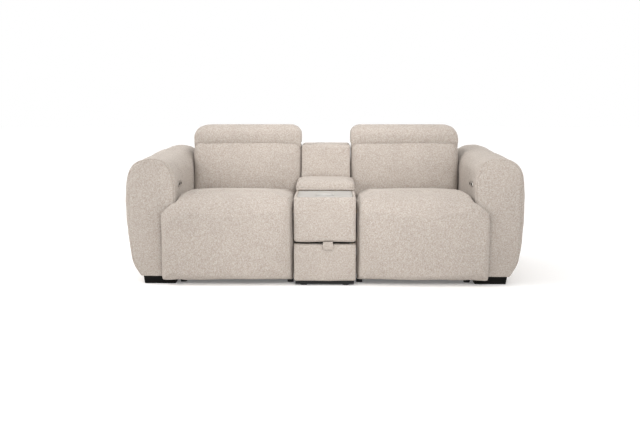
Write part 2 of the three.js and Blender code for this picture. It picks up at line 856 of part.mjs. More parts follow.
function pushLink() {
  const shape = barShape(crank_pin, bracket_pin, bar_radius);
  shape.holes.push(circle(crank_pin.x, crank_pin.y, link_pin_radius + pin_gap));
  shape.holes.push(circle(bracket_pin.x, bracket_pin.y, link_pin_radius + pin_gap * 2));
  const middle = crank_pin.clone().add(bracket_pin).divideScalar(2);
  const rod_end = link_u + bar_gap;
  return join(
    ...pairX(shape, link_u, bar_thickness),
    rodX(link_pin_radius, seat_mid_x - rod_end, seat_mid_x + rod_end, middle.x, middle.y, 12),
  );
}

function legrestFrame() {
  const front = front_y + legrest_thickness + rest_gap;
  const half = (seat_outer_x - seat_inner_x) / 2 - legrest_frame_margin;
  const x0 = seat_mid_x - half;
  const x1 = seat_mid_x + half;
  const ear = new THREE.Shape();
  const reach = bar_radius * 3;
  const pin_end = link_u + bar_thickness + bar_gap / 2;
  ear.moveTo(legrest_rear_y - bar_gap, bracket_pin.y - reach);
  ear.lineTo(legrest_rear_y + bar_gap, bracket_pin.y - reach);
  ear.absarc(bracket_pin.x, bracket_pin.y, bar_radius, -Math.PI / 3, Math.PI / 3, false);
  ear.lineTo(legrest_rear_y + bar_gap, bracket_pin.y + reach);
  ear.lineTo(legrest_rear_y - bar_gap, bracket_pin.y + reach);
  return join(
    box(x0, x1, front, legrest_rear_y, legrest_frame_low, legrest_frame_high),
    ...pairX(ear, bracket_u, bar_thickness),
    ...pairRod(link_pin_radius, bracket_u + bar_gap, pin_end, bracket_pin.x, bracket_pin.y),
  );
}

// Actuator: a gearbox on the rear cross tube, a cross motor, and a hollow rail that the rod runs in.
const rod_z = drive_axis.y - (crank_length * (1 + Math.sin(crank_angle))) / 2;
const gearbox_y = back_hinge_y - gearbox_hinge_gap;
const gearbox_front_y = gearbox_y - gearbox_length / 2;
const rail_front_y = lug_pin.x + rail_lug_gap;
const gearbox_low = rod_z - gearbox_height / 2;

function actuatorMotor() {
  const housing = join(
    box(
      seat_mid_x - gearbox_width / 2,
      seat_mid_x + gearbox_width / 2,
      gearbox_front_y,
      gearbox_y + gearbox_length / 2,
      gearbox_low,
      gearbox_low + gearbox_height,
    ),
    rodX(motor_radius, seat_mid_x, seat_mid_x + gearbox_width / 2 + motor_length, gearbox_y, rod_z),
    rodY(rail_radius, rail_front_y, gearbox_y, seat_mid_x, rod_z),
  );
  const bore = rodY(rod_radius + pin_gap, rail_front_y - overrun, gearbox_front_y - overrun, seat_mid_x, rod_z);
  return cut(housing, bore);
}

function actuatorRod() {
  const half = rod_eye_width / 2;
  const sag = (crank_length * (1 - Math.sin(crank_angle))) / 2;
  const wide = crank_pin_radius + rod_eye_slack;
  const tall = sag + crank_pin_radius + rod_eye_slack;
  const wall = bar_thickness;
  const rod_rear_y = rail_front_y + (gearbox_front_y - rail_front_y) * rod_entry_share;
  const eye = roundedRect(
    lug_pin.x - wide - wall,
    lug_pin.x + wide + wall,
    rod_z - tall - wall,
    rod_z + tall + wall,
    wide,
  );
  eye.holes.push(roundedRect(lug_pin.x - wide, lug_pin.x + wide, rod_z - tall, rod_z + tall, wide - rest_gap));
  return join(
    alongX(eye, seat_mid_x - half, seat_mid_x + half),
    rodY(rod_radius, lug_pin.x + wide + rest_gap, rod_rear_y, seat_mid_x, rod_z),
  );
}

// Back: a leaning pad in front of a windowed frame, and an outer panel behind it. The pad's top edge
// is a round socket, so that the headrest's lower edge turns in it.
const socket_sides = 24;

function backPad() {
  const rear = back_frame_y - rest_gap;
  const body = pad({
    low: [back_inner_x, back_front_y, back_bottom],
    high: [back_outer_x, rear, back_height],
    edge: back_side_roll,
    steps: [4, 1, 4],
    crown_low: [0, back_crown, 0],
    reshape: (point) => {
      const up = (point.z - back_bottom) / (back_height - back_bottom);
      point.y += back_lean * up * up * ((rear - point.y) / back_pad_depth);
    },
  });
  const top_fill = alongX(backLip(), back_inner_x + back_lip_inset, back_outer_x - back_lip_inset, 4);
  const socket = rodX(
    flatRadius(headrest_socket_radius + rest_gap, socket_sides),
    back_inner_x - overrun,
    back_outer_x + overrun,
    headrest_axis_y,
    back_height,
    socket_sides,
  );
  const pocket_front = headrest_axis_y - headrest_arm_radius * 2;
  const arm_pocket = pairX(
    pocketShape(pocket_front, back_frame_y + overrun, headrest_arm_low, back_height + overrun),
    headrest_arm_offset - bar_thickness,
    headrest_pocket_width,
  );
  return cut(join(body, top_fill), socket, ...arm_pocket);
}

// The square lip along the top front edge that the headrest's crease closes against.
function backLip() {
  const shape = new THREE.Shape();
  const depth = back_side_roll;
  shape.moveTo(headrest_front_y + rest_gap, back_height);
  shape.lineTo(headrest_front_y + rest_gap, back_height - rest_gap * 2);
  shape.lineTo(headrest_front_y + depth, back_height - back_lip_drop);
  shape.lineTo(back_frame_y - rest_gap, back_height - back_lip_drop);
  shape.lineTo(back_frame_y - rest_gap, back_height);
  return shape;
}

function pocketShape(y0, y1, z0, z1) {
  const shape = new THREE.Shape();
  shape.moveTo(y0, z0);
  shape.lineTo(y1, z0);
  shape.lineTo(y1, z1);
  shape.lineTo(y0, z1);
  return shape;
}

const headrest_arm_low = back_height - headrest_arm_rise - headrest_arm_radius * 2;

function backFrame() {
  const top = back_height - back_frame_margin / 2;
  const x0 = back_inner_x + back_frame_margin;
  const x1 = back_outer_x - back_frame_margin;
  const pitch = (x1 - x0 - back_frame_rail) / back_frame_window_count;
  const windows = [];
  for (let bay = 0; bay < back_frame_window_count; bay += 1) {
    const window_x = x0 + back_frame_rail + pitch * bay;
    windows.push(box(
      window_x,
      window_x + pitch - back_frame_rail,
      back_frame_y - overrun,
      back_panel_y + overrun,
      back_frame_low + back_frame_rail * 2,
      top - back_frame_rail * 2,
    ));
  }
  const panel = cut(box(x0, x1, back_frame_y, back_panel_y - rest_gap, back_frame_low, top), ...windows);
  const hinge = new THREE.Vector2(back_hinge_y, back_hinge_height);
  const ear_end = new THREE.Vector2(back_frame_y + back_ear_radius, back_hinge_height - back_ear_drop);
  const ear_u = plate_u - bar_gap - bar_thickness;
  const pivot = new THREE.Vector2(headrest_axis_y, back_height);
  const arm_end = new THREE.Vector2(back_frame_y + headrest_arm_radius, back_height - headrest_arm_rise);
  const arm = barShape(arm_end, pivot, headrest_arm_radius);
  arm.holes.push(circle(pivot.x, pivot.y, headrest_pin_radius + pin_gap));
  return join(
    panel,
    ...pairX(barShape(hinge, ear_end, back_ear_radius), ear_u, bar_thickness),
    ...pairRod(link_pin_radius, ear_u, plate_u + plate_thickness + bar_gap, hinge.x, hinge.y),
    ...pairX(arm, headrest_arm_offset, bar_thickness),
  );
}

function backPanel() {
  return pad({
    low: [back_inner_x, back_panel_y, back_panel_bottom],
    high: [back_outer_x, back_panel_y + back_panel_depth, back_height],
    edge: back_panel_edge,
    steps: [3, 1, 3],
    crown_high: [0, back_crown, 0],
    reshape: (point) => {
      const up = (point.z - back_panel_bottom) / (back_height - back_panel_bottom);
      const back = (point.y - back_panel_y) / back_panel_depth;
      point.y += back_panel_lean * up * back;
    },
  });
}

// Headrest: a thick pad whose lower front edge is round about its hinge line.
function headrestOutline() {
  const shape = new THREE.Shape();
  const y0 = headrest_front_y;
  const y1 = headrest_front_y + headrest_depth;
  const top = overall_height;
  const proud = Math.acos(headrest_axis_setback / headrest_socket_radius);
  shape.absarc(headrest_axis_y, back_height, headrest_socket_radius, Math.PI - proud, Math.PI * 2, false);
  shape.lineTo(y1, back_height);
  shape.absarc(y1 - headrest_edge, top - headrest_edge, headrest_edge, 0, Math.PI / 2, false);
  shape.absarc(y0 + headrest_edge, top - headrest_edge, headrest_edge, Math.PI / 2, Math.PI, false);
  return shape.getPoints(3);
}

function headrestPad() {
  const x0 = back_inner_x - headrest_inner_overhang;
  const x1 = arm_inner_x + headrest_outer_overhang;
  const outline = headrestOutline();
  const rise = overall_height - back_height;
  const places = stations(x0, x1, headrest_inner_radius, headrest_outer_radius, 4, 3);
  const rings = places.map((x) => {
    const drop = Math.max(rollInset(x - x0, headrest_inner_radius), rollInset(x1 - x, headrest_outer_radius));
    const inset = rollInset(Math.min(x - x0, x1 - x), headrest_end_roll);
    return outline.map((point) => {
      const up = Math.max(point.y - back_height, 0) / rise;
      const squeeze = 1 - inset / headrest_depth;
      const y = headrest_axis_y + (point.x - headrest_axis_y) * squeeze;
      const z = point.y > back_height ? point.y - up * drop : back_height + (point.y - back_height) * squeeze;
      return new THREE.Vector3(x, y, z);
    });
  });
  const pocket_low = back_height - headrest_socket_radius - overrun;
  const arm_reach = headrest_arm_offset + bar_gap + bar_thickness * 2 + pass_gap;
  const pocket_high = back_height + headrest_arm_rise + headrest_arm_radius + pass_gap;
  const bracket_pocket = box(
    seat_mid_x - arm_reach,
    seat_mid_x + arm_reach,
    headrest_axis_y - headrest_arm_radius - pin_gap,
    headrest_axis_y + headrest_arm_radius + pin_gap,
    pocket_low,
    pocket_high,
  );
  const arm_pocket = pairX(
    pocketShape(
      headrest_axis_y - headrest_arm_radius - pass_gap,
      headrest_axis_y + headrest_socket_radius + overrun,
      pocket_low,
      back_height + headrest_arm_radius + pass_gap,
    ),
    headrest_arm_offset - bar_thickness,
    arm_reach - headrest_arm_offset + bar_thickness,
  );
  const overhangs = [[x0 - overrun, back_inner_x], [back_outer_x, x1 + overrun]].map(([from, to]) => (
    box(from, to, headrest_round_y - overrun, back_panel_y, pocket_low, back_height)
  ));
  return cut(loft(rings), bracket_pocket, ...arm_pocket, ...overhangs);
}

function headrestBracket() {
  const pivot = new THREE.Vector2(headrest_axis_y, back_height);
  const top = new THREE.Vector2(headrest_axis_y, back_height + headrest_arm_rise);
  const arm_u = headrest_arm_offset + bar_thickness + bar_gap;
  return join(
    ...pairX(barShape(pivot, top, headrest_arm_radius), arm_u, bar_thickness),
    ...pairRod(headrest_pin_radius, headrest_arm_offset - bar_gap, arm_u + bar_gap, pivot.x, pivot.y),
    box(
      seat_mid_x - arm_u - bar_gap,
      seat_mid_x + arm_u + bar_gap,
      headrest_axis_y - headrest_plate / 2,
      headrest_axis_y + headrest_plate / 2,
      top.y - headrest_plate_height / 2,
      top.y + headrest_plate_height / 2 - headrest_plate / 2,
    ),
  );
}

// Console carcass: a plywood box with a drawer bay below, and a cup bay and a bin bay above.
function consoleCarcass() {
  const inner = carcass_half - carcass_wall;
  const bay_top = carcass_top + overrun;
  const upper_low = shelf_height + carcass_wall;
  const bay_rear_y = carcass_rear_y - carcass_wall;
  const shell = cut(
    box(-carcass_half, carcass_half, carcass_front_y, carcass_rear_y, plinth_height, carcass_top),
    box(-inner, inner, carcass_front_y - overrun, bay_rear_y, plinth_height + carcass_wall, shelf_height),
    box(-inner, inner, carcass_front_y + carcass_wall, divider_y, upper_low, bay_top),
    box(-inner, inner, divider_y + carcass_wall, bay_rear_y, upper_low, bay_top),
  );
  const shelf_rear = skirt_y - rest_gap;
  return join(
    shell,
    box(-inner, inner, upstand_y, upstand_y + carcass_wall, plinth_height, lid_axis_z - rest_gap),
    box(-inner, inner, upstand_y, shelf_rear, skirt_height - carcass_wall, skirt_height),
    box(
      -upright_width / 2,
      upright_width / 2,
      back_frame_y,
      back_frame_y + upright_thickness,
      skirt_height - carcass_wall,
      upright_height,
    ),
  );
}

const skirt_y = rear_y - skirt_setback;

function consolePlinth() {
  const y0 = carcass_front_y - plinth_inset * 2 + rest_gap;
  const y1 = carcass_rear_y;
  const pieces = [box(-carcass_half, carcass_half, y0, y1, plinth_glide_height, plinth_height - rest_gap)];
  [y0 + plinth_glide_inset / 2, y1 - plinth_glide_inset].forEach((y) => {
    [-1, 1].forEach((side) => {
      const x = side * (carcass_half - plinth_glide_inset);
      pieces.push(rodZ(plinth_glide_radius, 0, plinth_glide_height + rest_gap, x, y, 16));
    });
  });
  return join(...pieces);
}

function consoleCover() {
  const skin = join(
    box(-console_half, console_half, carcass_front_y, carcass_rear_y, plinth_height, console_height),
    pad({
      low: [-console_half, console_front_y, front_block_bottom],
      high: [console_half, carcass_front_y + front_block_edge * 2, console_height],
      edge: front_block_edge,
      steps: [2, 1, 2],
    }),
  );
  const inner = carcass_half + rest_gap;
  const tray_half = console_half - tray_border + rest_gap;
  const cut_rear = carcass_rear_y + overrun;
  const cut_low = carcass_top - rest_gap;
  const cut_high = console_height + overrun;
  return cut(
    skin,
    box(-inner, inner, carcass_front_y - rest_gap, cut_rear, 0, carcass_top + rest_gap),
    box(
      -tray_half,
      tray_half,
      console_front_y + tray_front_border - rest_gap,
      lid_front,
      cut_low,
      cut_high,
    ),
    box(-inner, inner, lid_front - rest_gap, cut_rear, cut_low, cut_high),
    box(-console_half - overrun, -inner, carcass_front_y - overrun * 2, carcass_front_y, 0, front_block_bottom),
  );
}

const cup_sides = 20;
const cup_hole_radius = flatRadius(cup_radius + cup_wall + rest_gap, cup_sides);

function consoleTray() {
  const half = console_half - tray_border;
  const y0 = console_front_y + tray_front_border;
  const y1 = lid_front - rest_gap * 2;
  const low = carcass_top + rest_gap;
  const outline = roundedRect(-half, half, y0, y1, tray_corner);
  const recess = roundedRect(-half + tray_rim, half - tray_rim, y0 + tray_rim, y1 - tray_rim, tray_corner / 2);
  return cut(
    alongZ(outline, low, low + tray_thickness, 2),
    alongZ(recess, low + tray_thickness - tray_recess, low + tray_thickness + overrun, 2),
    rodZ(cup_hole_radius, low - overrun, low + tray_thickness + overrun, 0, front_y + cup_setback, cup_sides),
  );
}

function cupHolder() {
  const rim = carcass_top + rest_gap * 2 + tray_thickness - tray_recess;
  const outer = cup_radius + cup_wall;
  const profile = [
    new THREE.Vector2(0, rim - cup_depth),
    new THREE.Vector2(outer * cup_foot_radius_share, rim - cup_depth),
    new THREE.Vector2(outer, rim - cup_depth * cup_foot_depth_share),
    new THREE.Vector2(outer, rim),
    new THREE.Vector2(outer + cup_flange, rim),
    new THREE.Vector2(outer + cup_flange, rim + cup_wall / 2),
    new THREE.Vector2(outer + cup_flange - cup_wall / 2, rim + cup_wall),
    new THREE.Vector2(cup_radius, rim + cup_wall),
    new THREE.Vector2(cup_radius, rim - cup_depth * cup_floor_depth_share),
    new THREE.Vector2(cup_radius * cup_floor_radius_share, rim - cup_depth + cup_wall),
    new THREE.Vector2(0, rim - cup_depth + cup_wall),
  ];
  return new THREE.LatheGeometry(profile, cup_sides).rotateX(Math.PI / 2).translate(0, front_y + cup_setback, 0);
}

function storageBin() {
  const inner = carcass_half - carcass_wall;
  const half = inner - bin_margin;
  const y0 = divider_y + carcass_wall + bin_margin;
  const y1 = carcass_rear_y - carcass_wall - bin_margin;
  const top = carcass_top + rest_gap;
  const flange = bin_margin + bin_flange;
  return cut(
    join(
      alongZ(roundedRect(-half, half, y0, y1, bin_margin), top - bin_depth, top + bin_wall, 3),
      alongZ(
        roundedRect(-half - flange, half + flange, y0 - flange, y1 + flange, bin_margin),
        top,
        top + bin_wall,
        3,
      ),
    ),
    alongZ(
      roundedRect(-half + bin_wall, half - bin_wall, y0 + bin_wall, y1 - bin_wall, bin_margin - bin_wall),
      top - bin_depth + bin_wall,
      top + bin_wall + overrun,
      3,
    ),
  );
}

function consoleBackPad() {
  const low_front = upstand_y + carcass_wall + rest_gap;
  const top_front = back_front_y + pass_gap;
  const rear = back_panel_y + back_panel_depth;
  const step_z = lid_axis_z + overrun;
  const body = pad({
    low: [-console_back_half, top_front, skirt_height + rest_gap],
    high: [console_back_half, rear, console_back_height],
    edge: console_back_edge,
    steps: [2, 2, 4],
    reshape: (point) => {
      const up = Math.max(point.z - step_z, 0) / (console_back_height - step_z);
      point.y += console_back_front_lean * up * ((rear - point.y) / (rear - top_front));
    },
  });
  const inner = carcass_half - carcass_wall + rest_gap;
  const upright_half = upright_width / 2 + rest_gap;
  return cut(
    body,
    box(-inner, inner, top_front - overrun, low_front, 0, step_z - overrun + rest_gap),
    box(
      -upright_half,
      upright_half,
      back_frame_y - rest_gap,
      back_frame_y + upright_thickness + rest_gap,
      0,
      upright_height + rest_gap,
    ),
  );
}

// Lid: a padded armrest on a board, on a strip hinge along its top rear edge.
function hingeSegments(first) {
  const pitch = hinge_length / hinge_knuckle_count;
  const segments = [];
  for (let at = first; at < hinge_knuckle_count; at += 2) {
    const x0 = -hinge_length / 2 + pitch * at + rest_gap;
    segments.push([x0, x0 + pitch - rest_gap * 2]);
  }
  return segments;
}

function lidHinge() {
  const leaf_y = lid_axis_y + hinge_knuckle_radius - hinge_leaf;
  const leaf_top = lid_axis_z - hinge_knuckle_radius - rest_gap;
  const end = hinge_length / 2;
  const pieces = [
    box(-end, end, leaf_y, leaf_y + hinge_leaf, lid_low + overrun, leaf_top),
    rodX(hinge_pin_radius, -end + rest_gap, end - rest_gap, lid_axis_y, lid_axis_z, 8),
  ];
  hingeSegments(0).forEach(([x0, x1]) => {
    pieces.push(rodX(hinge_knuckle_radius, x0, x1, lid_axis_y, lid_axis_z, 12));
    pieces.push(box(x0, x1, leaf_y, leaf_y + hinge_leaf, lid_low + overrun, lid_axis_z));
  });
  return join(...pieces);
}

function lidBoard() {
  const half = lid_width / 2 - lid_board_margin;
  const leaf_y = lid_axis_y - hinge_knuckle_radius;
  const leaf_low_top = lid_axis_z - hinge_knuckle_radius - rest_gap;
  const pieces = [
    box(-half, half, lid_front + lid_board_margin, leaf_y + hinge_leaf, lid_low, lid_low + lid_board_thickness),
    box(-hinge_length / 2, hinge_length / 2, leaf_y, leaf_y + hinge_leaf, lid_low, leaf_low_top),
  ];
  hingeSegments(1).forEach(([x0, x1]) => {
    pieces.push(rodX(hinge_knuckle_radius, x0, x1, lid_axis_y, lid_axis_z, 12));
    pieces.push(box(x0, x1, leaf_y, leaf_y + hinge_leaf, lid_low, lid_axis_z));
  });
  const pin_hole = rodX(hinge_pin_radius + pin_gap, -hinge_length, hinge_length, lid_axis_y, lid_axis_z, 8);
  return cut(join(...pieces), pin_hole);
}

function lidPad() {
  const half = lid_width / 2;
  const rear = lid_axis_y - hinge_knuckle_radius - rest_gap;
  const body = pad({
    low: [-half, lid_front, lid_low],
    high: [half, rear, lid_top - lid_crown],
    edge: lid_edge,
    steps: [3, 3, 1],
    crown_high: [0, 0, lid_crown],
  });
  const board_half = half - lid_board_margin + rest_gap;
  return cut(
    body,
    box(
      -board_half,
      board_half,
      lid_front + lid_board_margin - rest_gap,
      rear + overrun,
      lid_low - overrun,
      lid_low + lid_board_thickness + rest_gap,
    ),
  );
}

// Drawer: a padded front with a fabric tab, and an open box that runs in two channels.
function drawerFront() {
  return pad({
    low: [-console_half, console_front_y, drawer_front_bottom],
    high: [console_half, carcass_front_y - rest_gap, shelf_height],
    edge: drawer_front_edge,
    steps: [1, 1, 1],
  });
}

function drawerBox() {
  const half = drawer_width / 2;
  const y1 = drawer_rear_y;
  const rail_z = runner_low + runner_wall + rest_gap * 2;
  const rail_top = runner_low + runner_height - runner_wall - rest_gap * 2;
  const rail_x = carcass_half - carcass_wall - rest_gap - runner_wall - rest_gap * 2;
  return cut(
    join(
      box(-half, half, carcass_front_y, y1, drawer_low, drawer_high),
      box(half - overrun, rail_x, carcass_front_y + overrun, y1, rail_z, rail_top),
      box(-rail_x, -half + overrun, carcass_front_y + overrun, y1, rail_z, rail_top),
    ),
    box(
      -half + drawer_wall,
      half - drawer_wall,
      carcass_front_y + drawer_wall,
      y1 - drawer_wall,
      drawer_low + drawer_floor,
      drawer_high + overrun,
    ),
  );
}

function drawerRunner() {
  const outer = carcass_half - carcass_wall - rest_gap;
  const inner = outer - runner_depth;
  const high = runner_low + runner_height;
  const rear = drawer_rear_y;
  return cut(
    box(inner, outer, carcass_front_y + overrun, rear, runner_low, high),
    box(
      inner - overrun,
      outer - runner_wall,
      carcass_front_y,
      rear + overrun,
      runner_low + runner_wall,
      high - runner_wall,
    ),
  );
}

function pullTab() {
  const face = console_front_y - rest_gap * 2;
  const root_low = shelf_height + rest_gap;
  const shape = new THREE.Shape();
  shape.moveTo(face + tab_root, root_low);
  shape.lineTo(face + tab_root, root_low + tab_root_thickness);
  shape.lineTo(face, root_low + tab_root_thickness);
  const fold = tab_thickness / 2;
  shape.lineTo(face, tab_high - fold);
  shape.absarc(face - fold, tab_high - fold, fold, 0, Math.PI, false);
  shape.absarc(face - fold, tab_low + fold, fold, Math.PI, Math.PI * 2, false);
  shape.lineTo(face, root_low);
  return alongX(shape, tab_offset - tab_width / 2, tab_offset + tab_width / 2, 4);
}

function rearRail() {
  const end = arm_inner_x - rest_gap;
  return box(-end, end, skirt_y - rail_depth, skirt_y - rest_gap, rail_low, rail_high);
}

function backSkirt() {
  const end = arm_inner_x - rest_gap;
  const edge = skirt_thickness / 3;
  return alongX(roundedRect(skirt_y, skirt_y + skirt_thickness, skirt_bottom, skirt_height, edge), -end, end, 2);
}

// Each seat unit is drawn for the right-hand side and mirrored for the left.
[['left', -1], ['right', 1]].forEach(([side, mirror]) => {
  const unit = new THREE.Group();
  unit.scale.x = mirror;
  const add = (name, geometry, material) => addPiece(unit, `${name}_${side}`, geometry, material);
  add('arm', armPad(), upholstery);
  add('arm_frame', armFrame(), plywood);
  add('foot_front', foot(arm_front_y + foot_end_offset), black_wood);
  add('foot_rear', foot(rear_y - foot_end_offset - foot_depth), black_wood);
  add('control_plate', controlPlate(), satin_metal);
  add('button_front', button(button_places[0]), black_plastic);
  add('button_rear', button(button_places[1]), black_plastic);
  add('seat_pad', seatPad(), upholstery);
  add('seat_deck', seatDeck(), plywood);
  add('legrest_pad', legrestPad(), upholstery);
  add('legrest_frame', legrestFrame(), black_steel);
  add('mechanism_base', mechanismBase(), black_steel);
  add('drive_tube', driveTube(), black_steel);
  add('push_link', pushLink(), black_steel);
  add('actuator_motor', actuatorMotor(), black_plastic);
  add('actuator_rod', actuatorRod(), bright_steel);
  add('back_pad', backPad(), upholstery);
  add('back_frame', backFrame(), black_steel);
  add('back_panel', backPanel(), upholstery);
  add('headrest_pad', headrestPad(), upholstery);
  add('headrest_bracket', headrestBracket(), black_steel);
  add('drawer_runner', drawerRunner(), bright_steel);
  group.add(unit);
});

addPiece(group, 'rear_rail', rearRail(), plywood);
addPiece(group, 'back_skirt', backSkirt(), upholstery);
addPiece(group, 'console_carcass', consoleCarcass(), plywood);
addPiece(group, 'console_plinth', consolePlinth(), black_plastic);
addPiece(group, 'console_cover', consoleCover(), upholstery);
addPiece(group, 'console_tray', consoleTray(), tray_plastic);
addPiece(group, 'cup_holder', cupHolder(), satin_metal);
addPiece(group, 'storage_bin', storageBin(), black_plastic);
addPiece(group, 'console_back_pad', consoleBackPad(), upholstery);
addPiece(group, 'lid_hinge', lidHinge(), bright_steel);
addPiece(group, 'lid_board', lidBoard(), plywood);
addPiece(group, 'lid_pad', lidPad(), upholstery);
addPiece(group, 'drawer_front', drawerFront(), upholstery);
addPiece(group, 'drawer_box', drawerBox(), plywood);
addPiece(group, 'pull_tab', pullTab(), upholstery);

export default group;
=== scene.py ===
import json
import math

import bmesh
import bpy
import numpy as np
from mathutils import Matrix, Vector, noise


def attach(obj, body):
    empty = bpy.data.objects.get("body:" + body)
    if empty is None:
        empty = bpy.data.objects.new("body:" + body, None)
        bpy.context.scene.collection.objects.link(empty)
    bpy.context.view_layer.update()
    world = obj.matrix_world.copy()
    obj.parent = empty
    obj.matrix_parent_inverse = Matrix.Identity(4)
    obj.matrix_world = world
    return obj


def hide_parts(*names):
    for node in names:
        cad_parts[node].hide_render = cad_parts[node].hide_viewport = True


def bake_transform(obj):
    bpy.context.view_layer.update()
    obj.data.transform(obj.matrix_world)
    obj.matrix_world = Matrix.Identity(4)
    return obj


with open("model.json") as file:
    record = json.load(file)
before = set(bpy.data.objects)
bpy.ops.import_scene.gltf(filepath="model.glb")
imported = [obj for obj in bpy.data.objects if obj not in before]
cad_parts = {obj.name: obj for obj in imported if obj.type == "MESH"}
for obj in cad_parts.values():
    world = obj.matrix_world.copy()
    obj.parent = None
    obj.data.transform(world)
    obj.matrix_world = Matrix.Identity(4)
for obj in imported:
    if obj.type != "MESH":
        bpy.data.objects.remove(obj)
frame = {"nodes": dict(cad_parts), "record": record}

bl_info = {
    "name": "Reclining Sofa With Console",
    "version": (1, 0, 0),
    "blender": (4, 5, 0),
    "location": "View3D > Sidebar > Sofa",
    "description": "Dresses a two-seat reclining sofa with a centre console in its upholstery and finishes",
    "category": "Object",
}

MM = 0.001
SIDES = {"right": 1, "left": -1}
ROOT = "frame"


# Colours and materials


def linear(hex_code, alpha=True):
    """Turns an sRGB hex value into linear colour."""
    values = []
    for at in (0, 2, 4):
        value = int(hex_code[at:at + 2], 16) / 255
        values.append(value / 12.92 if value <= 0.04045 else ((value + 0.055) / 1.055) ** 2.4)
    return tuple(values) + ((1.0,) if alpha else ())


def add_node(tree, kind, settings=None, values=None, links=None):
    """Adds one node with its settings, its socket values and its links."""
    made = tree.nodes.new(kind)
    for name, value in (settings or {}).items():
        setattr(made, name, value)
    for key, value in (values or {}).items():
        made.inputs[key].default_value = value
    for key, source in (links or {}).items():
        tree.links.new(source, made.inputs[key])
    return made


def make_material(finish, *given):
    """A material named after its finish, which gets an empty shader and the Object coordinates."""
    material = bpy.data.materials.new(finish.__name__)
    material.use_nodes = True
    tree = material.node_tree
    tree.nodes.clear()
    output = add_node(tree, "ShaderNodeOutputMaterial")
    shader = add_node(tree, "ShaderNodeBsdfPrincipled")
    tree.links.new(shader.outputs[0], output.inputs["Surface"])
    place = add_node(tree, "ShaderNodeTexCoord").outputs["Object"]
    finish(tree, shader, place, *given)
    return material


def pattern_of(tree, kind, place, values, stretch=None):
    """A pattern on Object coordinates, longer along an axis where stretch gives it a smaller scale."""
    if stretch:
        place = add_node(tree, "ShaderNodeMapping", {}, {"Scale": stretch}, {"Vector": place}).outputs[0]
    return add_node(tree, kind, {}, values, {"Vector": place})


def set_ramp(ramp, stops):
    """Gives a colour ramp its stops, as (place, hex) pairs, and hands back its colour."""
    elements = ramp.color_ramp.elements
    while len(elements) > 1:
        elements.remove(elements[-1])
    elements[0].position = stops[0][0]
    elements[0].color = linear(stops[0][1])
    for position, hex_code in stops[1:]:
        elements.new(position).color = linear(hex_code)
    return ramp.outputs[0]


def finish_surface(tree, shader, colour, stops, numbers, gloss=None, relief=None):
    """Gives a shader its colour, through a ramp where there are stops, and its even numbers. gloss is a
    pattern with its lowest and highest roughness, relief one with its strength and height in metres."""
    if stops:
        colour = set_ramp(add_node(tree, "ShaderNodeValToRGB", {}, {}, {"Fac": colour}), stops)
    tree.links.new(colour, shader.inputs["Base Color"])
    for name, value in numbers.items():
        shader.inputs[name].default_value = value
    if gloss:
        ends = {"To Min": gloss[1], "To Max": gloss[2]}
        roughness = add_node(tree, "ShaderNodeMapRange", {}, ends, {"Value": gloss[0]})
        tree.links.new(roughness.outputs[0], shader.inputs["Roughness"])
    if relief:
        size = {"Strength": relief[1], "Distance": relief[2]}
        bump = add_node(tree, "ShaderNodeBump", {}, size, {"Height": relief[0]})
        tree.links.new(bump.outputs[0], shader.inputs["Normal"])


def heathered_chenille(tree, shader, place):
    """Heathered chenille upholstery, woven from slubbed polyester yarn and brushed to a short nap.

    The flecks come from yarns of three shades. A real yarn is about 1.5 mm wide. It is drawn at
    3 to 4 mm, because finer than that it would not show at the distance of the picture."""
    choices = bpy.context.scene.sofa_upholstery
    fleck = pattern_of(tree, "ShaderNodeTexNoise", place, {
        "Scale": 1 / choices.fleck_size, "Detail": 2.0, "Roughness": 0.62,
    })
    yarn = {"Scale": 1.0, "Detail": 1.0, "Roughness": 0.5}
    weft = pattern_of(tree, "ShaderNodeTexNoise", place, yarn, (105.0, 260.0, 300.0))
    warp = pattern_of(tree, "ShaderNodeTexNoise", place, yarn, (300.0, 140.0, 105.0))
    both = {0: weft.outputs[0], 1: warp.outputs[0]}
    threads = add_node(tree, "ShaderNodeMath", {"operation": "ADD"}, {}, both)
    half = add_node(tree, "ShaderNodeMath", {"operation": "MULTIPLY"}, {1: 0.5}, {0: threads.outputs[0]})
    blended = {2: fleck.outputs[0], 3: half.outputs[0]}
    blend = add_node(tree, "ShaderNodeMix", {"data_type": "FLOAT"}, {0: 0.55}, blended)
    shades = set_ramp(add_node(tree, "ShaderNodeValToRGB", {}, {}, {"Fac": blend.outputs[0]}), [
        (0.34, "90857B"), (0.46, "A1978F"), (0.53, "ABA39B"), (0.67, "BDB7B1"),
    ])
    broad = pattern_of(tree, "ShaderNodeTexNoise", place, {"Scale": 7.0, "Detail": 2.0})
    tone = add_node(tree, "ShaderNodeMapRange", {}, {
        "From Min": 0.3, "From Max": 0.7, "To Min": 0.965, "To Max": 1.02,
    }, {"Value": broad.outputs[0]})
    toned = {0: shades, "Scale": tone.outputs[0]}
    colour = add_node(tree, "ShaderNodeVectorMath", {"operation": "SCALE"}, {}, toned)
    loops = pattern_of(tree, "ShaderNodeTexVoronoi", place, {"Scale": 1 / choices.loop_size})
    nap = {0: blend.outputs[0], 1: loops.outputs["Distance"]}
    height = add_node(tree, "ShaderNodeMath", {"operation": "SUBTRACT"}, {}, nap)
    finish_surface(tree, shader, colour.outputs[0], None, {
        "Roughness": 0.95, "IOR": 1.45, "Specular IOR Level": 0.2,
        "Sheen Weight": 0.22, "Sheen Roughness": 0.45, "Sheen Tint": linear("F3ECE4"),
    }, relief=(height.outputs[0], 0.5, 0.0016))


